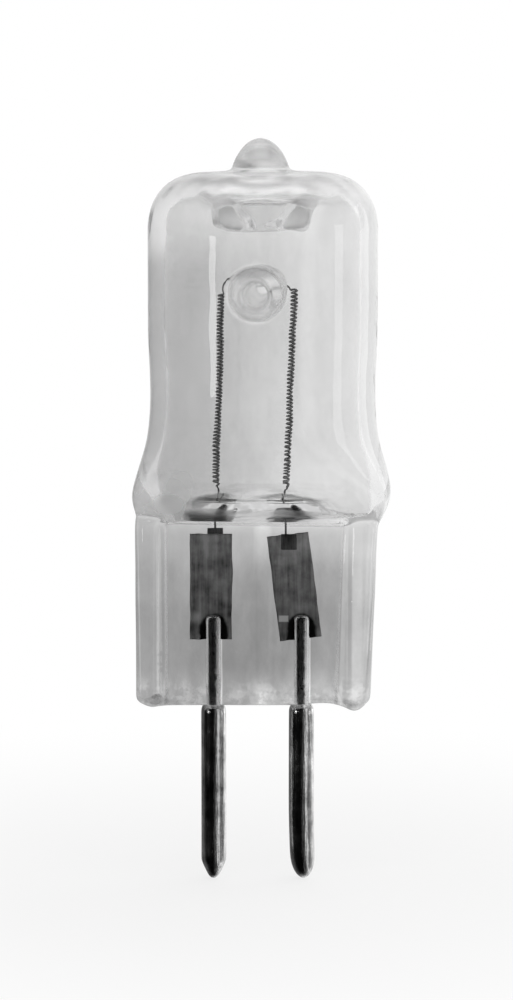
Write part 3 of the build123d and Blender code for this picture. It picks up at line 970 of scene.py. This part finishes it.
seal_rings = [seal_ring(height, inset) for height, inset in SEAL_LEVELS]
outer = bmesh.new()
ring = start_ring(outer, seal_rings[0])
close_flat(outer, ring)
ring = stack_rings(outer, ring, seal_rings[1:])
ring = stack_rings(outer, ring, [step_ring(height, share) for height, share in STEP_MIXES])
ring = stack_rings(outer, ring, [flare_ring(FLARE, TUBE_RADIUS, share) for share in FLARE_SHARES])
for vertex in outer.verts:
    x, z = vertex.co.x / MM, vertex.co.z / MM
    level = 1 - ramp_up(abs(z - STEP_HEIGHT), 0, STEP_REACH)
    vertex.co.z -= STEP_SLOPE * (x - STEP_PIVOT) * level * MM
print("seal and flare:", len(outer.faces), "faces")

# %% [markdown]
# The skin goes on up the tube, turns in over the shoulder and closes at the sealed tip, which leans a
# little to the left. The rings lie close together where the shape turns.

# %% Outer skin: tube and tip
CROWN = 32.05
SHOULDER = 3.0
SHOULDER_FOOT = CROWN - SHOULDER
TUBE_STEPS = 14
TUBE_LEVELS = [TUBE_FOOT + (SHOULDER_FOOT - TUBE_FOOT) * n / TUBE_STEPS for n in range(1, TUBE_STEPS + 1)]
TIP = [
    (3.2, 32.06), (2.5, 32.1), (2.05, 32.15), (1.8, 32.22), (1.7, 32.34), (1.64, 32.55), (1.52, 32.85),
    (1.35, 33.15), (1.13, 33.45), (0.89, 33.7), (0.62, 33.9), (0.34, 34.02), (0.14, 34.07),
]
TIP_TOP = 34.08
TIP_LEAN = Vector((0.13, 0, 0)) * MM


def shoulder_rings(radius, bend, steps, degrees):
    """Rings over a shoulder that turns in from a tube's radius with a round bend."""
    turns = [radians(degrees * step) for step in range(1, steps + 1)]
    return [round_ring(radius - bend + bend * cos(turn), SHOULDER_FOOT + bend * sin(turn)) for turn in turns]


ring = stack_rings(outer, ring, [round_ring(TUBE_RADIUS, height) for height in TUBE_LEVELS])
ring = stack_rings(outer, ring, shoulder_rings(TUBE_RADIUS, SHOULDER, steps=5, degrees=18))
for radius, height in TIP:
    ring = grow_ring(outer, ring, [point - TIP_LEAN for point in round_ring(radius, height)])
close_round(outer, ring, Vector((BULB_X, 0, TIP_TOP)) * MM - TIP_LEAN)
print("outer skin:", len(outer.faces), "faces")

# %% [markdown]
# The hollow is built the same way from its narrow trough upwards. Under the crown it turns back down round
# the drip of glass that was left when the exhaust tube was melted off, and ends in the small hole in the
# drip's middle.

# %% Hollow
TROUGH = [(11.86, 5.3, 0.2), (11.9, 5.6, 0.42)]
TROUGH_X, TROUGH_SQUARENESS = 0.7, 2.2
HOLLOW_SHARES = [
    0.06, 0.085, 0.115, 0.15, 0.19, 0.23, 0.27, 0.33, 0.38, 0.44, 0.51, 0.59, 0.68, 0.78, 0.89, 1.0,
]
CEILING = 31.0
DRIP = [
    (3.5, 31.0), (3.32, 30.96), (3.25, 30.8), (3.13, 30.3), (2.98, 29.6), (2.88, 29.1), (2.74, 28.76),
    (2.45, 28.62), (2.0, 28.58), (1.4, 28.57), (0.8, 28.58),
]
EXHAUST_HOLE = [
    (0.62, 28.64), (0.62, 28.8), (0.86, 29.4), (1.14, 30.0), (1.36, 30.5), (1.38, 30.9), (1.16, 31.25),
    (0.8, 31.52), (0.4, 31.68), (0.12, 31.72),
]
trough = [oblong_ring(*row, TROUGH_SQUARENESS, TROUGH_X, 1.0) for row in TROUGH]
hollow = bmesh.new()
ring = start_ring(hollow, trough[0])
close_flat(hollow, ring)
ring = stack_rings(hollow, ring, trough[1:])
ring = stack_rings(hollow, ring, [flare_ring(HOLLOW, BORE_RADIUS, share) for share in HOLLOW_SHARES])
ring = stack_rings(hollow, ring, [round_ring(BORE_RADIUS, height) for height in TUBE_LEVELS])
ring = stack_rings(hollow, ring, shoulder_rings(BORE_RADIUS, CEILING - SHOULDER_FOOT, steps=4, degrees=22))
ring = stack_rings(hollow, ring, [round_ring(radius, height) for radius, height in DRIP + EXHAUST_HOLE])
close_round(hollow, ring, Vector((BULB_X, 0, EXHAUST_HOLE[-1][1])) * MM)
print("hollow:", len(hollow.faces), "faces")

# %% [markdown]
# The dimple is a blunt finger pressed in from the front while the quartz was soft; it holds the middle of
# the filament. Cutting it with a boolean would leave a hard edge, so a window is cut in the rings, a circle
# is laid on the wall inside it and bridged to the window, and the circle is then extruded inwards along the
# finger's axis. The window comes first: the faces of the front wall that lie near the finger's root.

# %% Window for the dimple
DIMPLE_END = Vector((0.5, 0.35, 25.32))
DIMPLE_OUT = Vector((-0.09, -0.99, -0.02)).normalized()
DIMPLE_SIDE = DIMPLE_OUT.cross(Vector((0, 0, 1))).normalized()
DIMPLE_UP = DIMPLE_SIDE.cross(DIMPLE_OUT)
END_PAST_AXIS = 0.4


def cut_window(bm, radius, window):
    """Opens a window in the front of a tube wall and gives back the edges round it."""
    root = DIMPLE_END + DIMPLE_OUT * (radius + END_PAST_AXIS)
    faces = []
    for face in bm.faces:
        centre = face.calc_center_median() / MM
        turn = atan2(centre.y, centre.x - BULB_X) - atan2(root.y, root.x - BULB_X)
        level = abs(centre.z - DIMPLE_END.z) < window
        if level and abs(turn) * radius < window and centre.y < -radius / 2:
            faces.append(face)
    bmesh.ops.delete(bm, geom=faces, context="FACES")
    return [edge for edge in bm.edges if edge.is_boundary]


print("dimple leans by", round(DIMPLE_OUT.x, 3), "across and", round(DIMPLE_OUT.z, 3), "up")

# %% [markdown]
# The same steps dent the outer skin and the hollow. The outer finger is slim and the inner one wide, so the
# dimple's wall is thick all round. Each is a list of radii and distances from the finger's end. Near the
# tube the rings follow the curve of its wall, so that the glass flows into the finger.

# %% Dimple
OUTER_FINGER = [
    (0.98, 7.16), (0.84, 7.06), (0.73, 6.86), (0.66, 6.5), (0.61, 6.0), (0.57, 5.3), (0.54, 4.5),
    (0.5, 3.6), (0.46, 2.8), (0.41, 2.1), (0.33, 1.5), (0.2, 1.12), (0.08, 1.0),
]
INNER_FINGER = [
    (1.56, 6.1), (1.45, 6.0), (1.38, 5.8), (1.34, 5.4), (1.32, 4.8), (1.3, 4.0), (1.29, 3.2), (1.28, 2.4),
    (1.27, 1.6), (1.23, 1.0), (1.14, 0.52), (0.97, 0.2), (0.7, 0.04), (0.38, 0.0), (0.12, 0.0),
]
FOLLOW_FROM, FOLLOW_PAST_WALL = 3.5, 0.3


def press_dimple(bm, radius, window, profile):
    """Dents a tube wall; profile gives the finger's radius and distance from its end, in millimetres."""
    rim = cut_window(bm, radius, window)
    ring = bmesh.ops.create_circle(bm, segments=len(rim), radius=MM)["verts"]
    turns = [Vector((v.co.x, v.co.y)) / MM for v in ring]

    def wall_drop(x):
        """How far the round wall has fallen back beside the tube's middle."""
        return radius - sqrt(radius * radius - (x - BULB_X) ** 2)

    def ring_at(finger, out):
        """Ring of the finger; near the wall it follows the wall's curve."""
        follow = ramp_up(out, FOLLOW_FROM, radius + FOLLOW_PAST_WALL)
        points = []
        for turn in turns:
            point = DIMPLE_END + DIMPLE_OUT * out + (DIMPLE_SIDE * turn.x + DIMPLE_UP * turn.y) * finger
            points.append((point - DIMPLE_OUT * wall_drop(point.x) * follow) * MM)
        return points

    for vertex, point in zip(ring, ring_at(*profile[0])):
        vertex.co = Vector((point.x, (wall_drop(point.x / MM) - radius) * MM, point.z))
    bmesh.ops.bridge_loops(bm, edges=rim + loop_edges(bm, ring))
    ring = stack_rings(bm, ring, [ring_at(finger, out) for finger, out in profile[1:]])
    close_round(bm, ring, (DIMPLE_END + DIMPLE_OUT * profile[-1][1]) * MM)
    return len(rim)


outer_points = press_dimple(outer, TUBE_RADIUS, window=1.5, profile=OUTER_FINGER)
inner_points = press_dimple(hollow, BORE_RADIUS, window=1.9, profile=INNER_FINGER)
print("points round the finger:", outer_points, "outside and", inner_points, "inside")

# %% [markdown]
# Where the leads enter the seal the glass never wets them fully, and a thin skin of air stays round each
# wire up to its end. It is a closed hollow of its own, stacked from rings that hug the wire and swell a
# little by noise.

# %% Air round the leads
VOID_RING = 24
VOID_FOOT = [(0.06, 0.3, 0.3), (0.08, 0.46, 0.46)]
VOID_HEAD = [
    (4.2, 0.48, 0.475), (4.8, 0.48, 0.475), (5.1, 0.48, 0.475), (5.26, 0.46, 0.455), (5.36, 0.4, 0.4),
    (5.42, 0.3, 0.3), (5.45, 0.16, 0.16),
]
VOID_TOP = 5.46
VOID_RADIUS, VOID_SWELL, VOID_FLATTENING = 0.47, 0.05, 0.005
VOID_LEVELS, VOID_STEP = 8, 0.45


def wire_ring(x, height, half_width, half_depth):
    """A round or oval ring about an upright wire."""
    points = []
    for k in range(VOID_RING):
        turn = 2 * pi * k / VOID_RING
        points.append(Vector((x + half_width * cos(turn), half_depth * sin(turn), height)) * MM)
    return points


def stack_wire(rings):
    """A stack of rings with a flat foot, and its last ring, which is still open."""
    bm = bmesh.new()
    ring = start_ring(bm, rings[0])
    bmesh.ops.contextual_create(bm, geom=ring)
    return bm, stack_rings(bm, ring, rings[1:])


def lead_void(x, seed):
    """The closed skin of air round one lead."""
    levels = list(VOID_FOOT)
    for k in range(1, VOID_LEVELS + 1):
        height = VOID_FOOT[-1][0] + VOID_STEP * k
        radius = VOID_RADIUS + VOID_SWELL * noise.noise(Vector((seed, 0, height)))
        levels.append((height, radius, radius - VOID_FLATTENING))
    void, ring = stack_wire([wire_ring(x, *level) for level in levels + VOID_HEAD])
    close_round(void, ring, Vector((x, 0, VOID_TOP)) * MM)
    return void


voids = [lead_void(-LEAD_X, seed=1.0), lead_void(LEAD_X, seed=7.0)]
print("faces of the voids:", [len(void.faces) for void in voids])

# %% [markdown]
# Pressed quartz is never quite flat. Slow waves move the points of the seal, the foot, the crown and the
# drip by a few hundredths of a millimetre along their normals, so that light breaks up there as on the real
# part. The normals have to be right first, after doubles are merged. Then the hollows are turned inside
# out, because there the glass ends, and all skins are joined into one piece.

# %% Waves and directions
WAVE_FADE = 0.5
MERGE_REACH = 1e-7


def wave(bm, reach, size, low, high):
    """Moves points between two heights by slow noise of a size, all in millimetres."""
    for vertex in bm.verts:
        height = vertex.co.z / MM
        fade = min(ramp_up(height, low, low + WAVE_FADE), 1 - ramp_up(height, high - WAVE_FADE, high))
        vertex.co += vertex.normal * (noise.noise(vertex.co / (size * MM)) * reach * fade * MM)


inner_skins = [hollow] + voids
for skin in [outer] + inner_skins:
    bmesh.ops.remove_doubles(skin, verts=skin.verts, dist=MERGE_REACH)
    bmesh.ops.recalc_face_normals(skin, faces=skin.faces)
wave(outer, reach=0.05, size=2.6, low=0.3, high=11.0)
wave(outer, reach=0.035, size=0.9, low=-0.6, high=1.0)
wave(outer, reach=0.035, size=1.5, low=31.0, high=34.6)
wave(hollow, reach=0.1, size=0.9, low=28.0, high=32.0)
scrap = bpy.data.meshes.new("scrap")
for skin in inner_skins:
    bmesh.ops.reverse_faces(skin, faces=skin.faces)
    skin.to_mesh(scrap)
    skin.free()
    outer.from_mesh(scrap)
bpy.data.meshes.remove(scrap)
finish_piece(outer, "glass_envelope_clear", glass_finish, "glass_envelope", levels=1)

# %% [markdown]
# Each contact pin is a turned rod with a rounded shoulder under the glass, a straight shank, a pointed tip
# and a blind bore that grips the lead. Half of its outline is a chain of points, extruded one from the
# other and spun once round the pin's axis, as on a lathe.

# %% Turning a rod
PIN_RADIUS = 0.765
BORE = [(0, -1.6), (0.3, -1.6), (0.425, -1.6), (0.425, -0.8), (0.425, -0.05), (0.44, -0.01), (0.5, 0.0)]
NECK = [(0.56, -0.03), (0.63, -0.1), (0.69, -0.2), (0.735, -0.32), (0.76, -0.45), (PIN_RADIUS, -0.58)]
SHANK_STEP = 0.5
SHANK = [(PIN_RADIUS, NECK[-1][1] - SHANK_STEP * k) for k in range(1, 18)]
ROD_STEPS = 40


def turned_rod(axis_x, outline):
    """Spins an outline, given as radius and height in millimetres, round an upright axis."""
    bm = bmesh.new()
    points = [Vector((axis_x + radius, 0, height)) * MM for radius, height in outline]
    vertex = bmesh.ops.create_vert(bm, co=points[0])["vert"][0]
    for point in points[1:]:
        vertex = bmesh.ops.extrude_vert_indiv(bm, verts=[vertex])["verts"][0]
        vertex.co = point
    bmesh.ops.spin(
        bm,
        geom=bm.verts[:] + bm.edges[:],
        cent=Vector((axis_x, 0, 0)) * MM,
        axis=(0, 0, 1),
        angle=2 * pi,
        steps=ROD_STEPS,
        use_merge=True,
    )
    bmesh.ops.remove_doubles(bm, verts=bm.verts, dist=MERGE_REACH)
    bmesh.ops.recalc_face_normals(bm, faces=bm.faces)
    return bm


print("pin outline without its tip:", len(BORE + NECK + SHANK), "points")

# %% [markdown]
# Plating leaves the shank a little uneven, so slow waves move it by a hundredth of a millimetre. The left
# tip is ground to a cone; the right one is rounder and bent outwards a little.

# %% Contact pins
CONE_TIP = [
    (0.765, -9.6), (0.755, -9.75), (0.7, -9.93), (0.56, -10.24), (0.42, -10.54), (0.3, -10.74),
    (0.2, -10.84), (0.1, -10.89), (0, -10.9),
]
ROUND_TIP = [
    (0.76, -9.4), (0.74, -9.75), (0.68, -10.08), (0.58, -10.37), (0.45, -10.6), (0.3, -10.77),
    (0.15, -10.87), (0, -10.9),
]
BEND_FROM, BEND_LENGTH = -6, 4.9


def uneven(bm, reach, across, along):
    """Moves points along their normals by slow noise, longer along the piece than across it."""
    for vertex in bm.verts:
        place = vertex.co / MM
        place = Vector((place.x / across, place.y / across, place.z / along))
        vertex.co += vertex.normal * (noise.noise(place) * reach * MM)


for side, x, tip, bend in (("left", -LEAD_X, CONE_TIP, 0.0), ("right", LEAD_X, ROUND_TIP, 0.15)):
    pin = turned_rod(x, BORE + NECK + SHANK + tip)
    pin.normal_update()
    uneven(pin, reach=0.012, across=0.8, along=2.5)
    for vertex in pin.verts:
        share = max(0.0, BEND_FROM - vertex.co.z / MM) / BEND_LENGTH
        vertex.co.x += bend * share ** 2 * MM
    finish_piece(pin, side + "_pin_plated", pin_finish, side + "_contact_pin", levels=1)

# %% [markdown]
# The outer leads are round wires that come up out of the pins. From the weld upwards one side is pressed
# flat against the foil, and the nose is rounded. A ring of points is extruded along the wire, with the flat
# cut off each ring, and above the pin the wire sways by a few hundredths of a millimetre.

# %% Outer leads
LEAD_RADIUS = 0.42
LEAD_HEIGHTS = [-1.58, -1.0, -0.3, 0.2, 0.7, 1.2, 1.7, 2.2, 2.6, 3.0, 3.4, 3.8, 4.2, 4.6, 5.0]
LEAD_NOSE = [(5.18, 0.41), (5.28, 0.37), (5.34, 0.29), (5.36, 0.18)]
LEAD_RINGS = [(height, LEAD_RADIUS) for height in LEAD_HEIGHTS] + LEAD_NOSE
FOIL_FRONT = 0.38
FLAT_FROM, FLAT_FULL = 2.4, 2.7
SWAY, SWAY_LENGTH, SWAY_FROM = 0.02, 1.1, 0.3


def lead_ring(x, height, radius, seed):
    """Ring of a lead, flattened at the back where it lies on its foil."""
    if height > SWAY_FROM:
        x += SWAY * noise.noise(Vector((seed, 0, height / SWAY_LENGTH)))
    points = wire_ring(x, height, radius, radius)
    flat = ramp_up(height, FLAT_FROM, FLAT_FULL)
    for point in points:
        point.y -= max(0.0, point.y - FOIL_FRONT * MM) * flat
    return points


for side, x, seed in (("left", -LEAD_X, 3.0), ("right", LEAD_X, 8.0)):
    lead, nose = stack_wire([lead_ring(x, height, radius, seed) for height, radius in LEAD_RINGS])
    bmesh.ops.contextual_create(lead, geom=nose)
    bmesh.ops.recalc_face_normals(lead, faces=lead.faces)
    finish_piece(lead, side + "_lead_drawn", lead_finish, side + "_outer_lead", levels=1)

# %% [markdown]
# The sealing foils are cut from rolled strip a few hundredths of a millimetre thick, so their edges are
# ragged and they lie in faint waves. A grid gets that outline first and its thickness last. The right foil
# leans, and its lower left corner was creased by the weld.

# %% Sealing foils
FOIL_WIDTH, FOIL_HEIGHT, FOIL_FOOT = 2.53, 6.45, 3.92
FOIL_THICKNESS = 0.05
FOIL_SEAT = 0.03
SIDE_WAVE, END_WAVE, FACE_WAVE = 0.035, 0.05, 0.012
CREASE_BELOW, CREASE_ASIDE = (0.32, 0.35), (0.12, 0.16)


def rolled_foil(centre_x, lean, seed, ragged, crease):
    """A foil with wavy edges; ragged roughens its right edge, and crease folds its lower left corner."""
    bm = bmesh.new()
    bmesh.ops.create_grid(bm, x_segments=20, y_segments=48, size=0.5)
    for vertex in bm.verts:
        u, v = vertex.co.x, vertex.co.y
        edge = SIDE_WAVE * noise.noise(Vector((seed, 6 * v, u)))
        if u > 0:
            edge += ragged * max(0.0, noise.noise(Vector((4 * v, seed, 3))))
        x = FOIL_WIDTH * u + edge * (2 * u) ** 3
        z = FOIL_HEIGHT * v + END_WAVE * noise.noise(Vector((5 * u, seed, 1))) * (2 * v) ** 5
        fold = crease * ramp_up(-v, *CREASE_BELOW) * ramp_up(-u, *CREASE_ASIDE)
        y = FACE_WAVE * noise.noise(Vector((2.2 * u, 3 * v, seed))) - fold
        vertex.co = Vector((x, y, z)) * MM
    turn = Matrix.Rotation(-radians(lean), 3, "Y")
    bmesh.ops.rotate(bm, verts=bm.verts, cent=(0, 0, 0), matrix=turn)
    shift = Vector((centre_x, FOIL_FRONT + FOIL_SEAT, FOIL_FOOT + FOIL_HEIGHT / 2))
    bmesh.ops.translate(bm, verts=bm.verts, vec=shift * MM)
    bmesh.ops.solidify(bm, geom=bm.faces[:], thickness=FOIL_THICKNESS * MM)
    bmesh.ops.recalc_face_normals(bm, faces=bm.faces)
    return bm


left_foil = rolled_foil(-2.815, lean=0, seed=2.0, ragged=0.1, crease=0.0)
finish_piece(left_foil, "left_foil_rolled", foil_finish, "left_foil")
right_foil = rolled_foil(2.215, lean=7, seed=9.0, ragged=0.05, crease=0.05)
finish_piece(right_foil, "right_foil_rolled", foil_finish, "right_foil")

# %% [markdown]
# A weld tab joins each filament leg to its foil. It is a small stamped plate with soft edges and two weld
# marks, black from the heat. A cube is flattened, bevelled and divided, and the marks are pinched into it.
# The left tab stands behind its foil and above it; the right one lies in front.

# %% Weld tabs
TAB_SIZE = Vector((0.94, 0.15, 0.96))
TAB_EDGE = 0.035
WELD_MARKS = [Vector((-0.2, 0.12)), Vector((0.2, -0.14))]
MARK_RADIUS, MARK_PINCH = 0.2, 0.5


def weld_tab(x, y, top):
    """A stamped plate whose top edge lies at a height."""
    bm = bmesh.new()
    bmesh.ops.create_cube(bm, size=1.0)
    bmesh.ops.scale(bm, verts=bm.verts, vec=TAB_SIZE * MM)
    bmesh.ops.bevel(
        bm, geom=bm.edges[:], offset=TAB_EDGE * MM, segments=2, profile=0.5, affect="EDGES", material=-1
    )
    bmesh.ops.subdivide_edges(bm, edges=bm.edges[:], cuts=6, use_grid_fill=True)
    for vertex in bm.verts:
        for mark in WELD_MARKS:
            away = (Vector((vertex.co.x, vertex.co.z)) / MM - mark).length
            vertex.co.y *= 1 - MARK_PINCH * (1 - ramp_up(away, 0, MARK_RADIUS))
    bm.normal_update()
    uneven(bm, reach=0.03, across=0.25, along=0.25)
    bmesh.ops.translate(bm, verts=bm.verts, vec=Vector((x, y, top - TAB_SIZE.z / 2)) * MM)
    return bm


left_tab = weld_tab(x=-2.545, y=0.52, top=10.79)
finish_piece(left_tab, "left_tab_welded", tab_finish, "left_weld_tab", levels=1)
right_tab = weld_tab(x=1.895, y=0.3, top=10.37)
finish_piece(right_tab, "right_tab_welded", tab_finish, "right_weld_tab", levels=1)

# %% [markdown]
# The filament is one tungsten wire with two coils, of 55 turns on the left and 51 on the right. A small
# ring, the section of the wire, is spun that often about an upright axis and climbs a little with each
# step, which winds the coil; the coil is then leaned and bowed like the real one.

# %% Winding a coil
WIRE_RADIUS = 0.064
WIRE_SIDES = 7
COIL_RADIUS = 0.162
TURN_STEPS = 14
COIL_FOOT = 13.6


def in_order(bm, ring):
    """Sorts the points of a closed ring so that each is joined to the next."""
    walk, left = ring[:1], ring[1:]
    while left:
        onward = next(v for v in left if bm.edges.get((walk[-1], v)))
        left.remove(onward)
        walk.append(onward)
    return walk


def wind_coil(bm, turns, foot_x, head_x, head, bow):
    """Winds one coil and gives back the rings at its foot and its head."""
    steps = turns * TURN_STEPS
    before = set(bm.verts)
    first = bmesh.ops.create_circle(bm, segments=WIRE_SIDES, radius=WIRE_RADIUS * MM)["verts"]
    bmesh.ops.rotate(bm, verts=first, cent=(0, 0, 0), matrix=Matrix.Rotation(pi / 2, 3, "X"))
    bmesh.ops.translate(bm, verts=first, vec=Vector((COIL_RADIUS, 0, COIL_FOOT)) * MM)
    spun = bmesh.ops.spin(
        bm,
        geom=first + loop_edges(bm, first),
        cent=(0, 0, 0),
        axis=(0, 0, 1),
        dvec=Vector((0, 0, (head - COIL_FOOT) / steps)) * MM,
        angle=2 * pi * turns,
        steps=steps,
    )
    last = in_order(bm, [v for v in spun["geom_last"] if isinstance(v, bmesh.types.BMVert)])
    for vertex in set(bm.verts) - before:
        share = (vertex.co.z / MM - COIL_FOOT) / (head - COIL_FOOT)
        vertex.co.x += (foot_x + (head_x - foot_x) * share + bow * sin(pi * share)) * MM
    return first, last


filament = bmesh.new()
left_foot, left_head = wind_coil(filament, 55, foot_x=-2.596, head_x=-2.2, head=24.86, bow=0.101)
right_foot, right_head = wind_coil(filament, 51, foot_x=1.796, head_x=2.217, head=25.0, bow=-0.048)
print("two coils:", len(filament.faces), "faces")

# %% [markdown]
# From both ends of each coil the wire goes on along a given path: down through a small curl to the weld
# tab, and up through another to the bridge, which runs through the end of the dimple. The points are in
# millimetres.

# %% Legs and bridge
LEFT_LEG = [
    (-2.47, -0.09, 13.57), (-2.55, -0.14, 13.52), (-2.6, -0.08, 13.45), (-2.56, 0.02, 13.36),
    (-2.5, 0.1, 13.22), (-2.49, 0.2, 13.02), (-2.52, 0.38, 12.66), (-2.54, 0.5, 12.36),
    (-2.545, 0.52, 11.9), (-2.545, 0.52, 11.3), (-2.545, 0.52, 10.74),
]
RIGHT_LEG = [
    (1.93, -0.08, 13.57), (1.88, -0.12, 13.52), (1.84, -0.06, 13.46), (1.86, 0.0, 13.38),
    (1.84, 0.04, 13.28), (1.74, 0.08, 13.16), (1.71, 0.14, 12.96), (1.71, 0.24, 12.6),
    (1.707, 0.3, 12.3), (1.707, 0.3, 11.8), (1.707, 0.3, 11.1), (1.707, 0.3, 10.32),
]
LEFT_BRIDGE = [
    (-2.08, 0.08, 24.92), (-2.12, 0.06, 25.04), (-2.1, 0.03, 25.2), (-2.03, 0.01, 25.36),
    (-1.92, 0, 25.5), (-1.78, 0, 25.61), (-1.6, 0, 25.68), (-1.4, 0, 25.68), (-1.2, 0, 25.62),
    (-1.0, 0, 25.52), (-0.6, 0, 25.46), (0.0, 0, 25.4),
]
RIGHT_BRIDGE = [
    (2.32, 0.1, 25.04), (2.2, 0.13, 25.07), (2.1, 0.08, 25.06), (2.02, 0.03, 25.05), (1.93, 0, 25.08),
    (1.86, 0, 25.16), (1.78, 0, 25.24), (1.6, 0, 25.28), (1.2, 0, 25.3), (0.6, 0, 25.35), (0.2, 0, 25.38),
]
print("points on the paths:", [len(path) for path in (LEFT_LEG, LEFT_BRIDGE, RIGHT_BRIDGE, RIGHT_LEG)])

# %% [markdown]
# The ring at the end of a coil is extruded along its path and turned with it, so the wire keeps its
# thickness in the bends. The legs are closed at the tabs, and the two halves of the bridge are joined in
# the middle.

# %% Filament


def draw_wire(bm, ring, heading, path):
    """Extrudes the end of a wire along a path in millimetres, turning the ring with it."""
    here = sum((v.co for v in ring), Vector()) / len(ring)
    path = [here] + [Vector(point) * MM for point in path]
    heading = Vector(heading)
    for k in range(1, len(path)):
        onward = path[min(k + 1, len(path) - 1)] - path[k - 1]
        turn = heading.rotation_difference(onward)
        ring = grow_ring(bm, ring, [path[k] + turn @ (v.co - path[k - 1]) for v in ring])
        heading = onward
    return ring


for foot, leg in ((left_foot, LEFT_LEG), (right_foot, RIGHT_LEG)):
    end = draw_wire(filament, foot, (0, -1, 0), leg)
    bmesh.ops.contextual_create(filament, geom=end)
left_end = draw_wire(filament, left_head, (0, 1, 0), LEFT_BRIDGE)
right_end = draw_wire(filament, right_head, (0, 1, 0), RIGHT_BRIDGE)
bmesh.ops.bridge_loops(filament, edges=loop_edges(filament, left_end) + loop_edges(filament, right_end))
bmesh.ops.recalc_face_normals(filament, faces=filament.faces)
finish_piece(filament, "filament_wound", wire_finish, "filament")
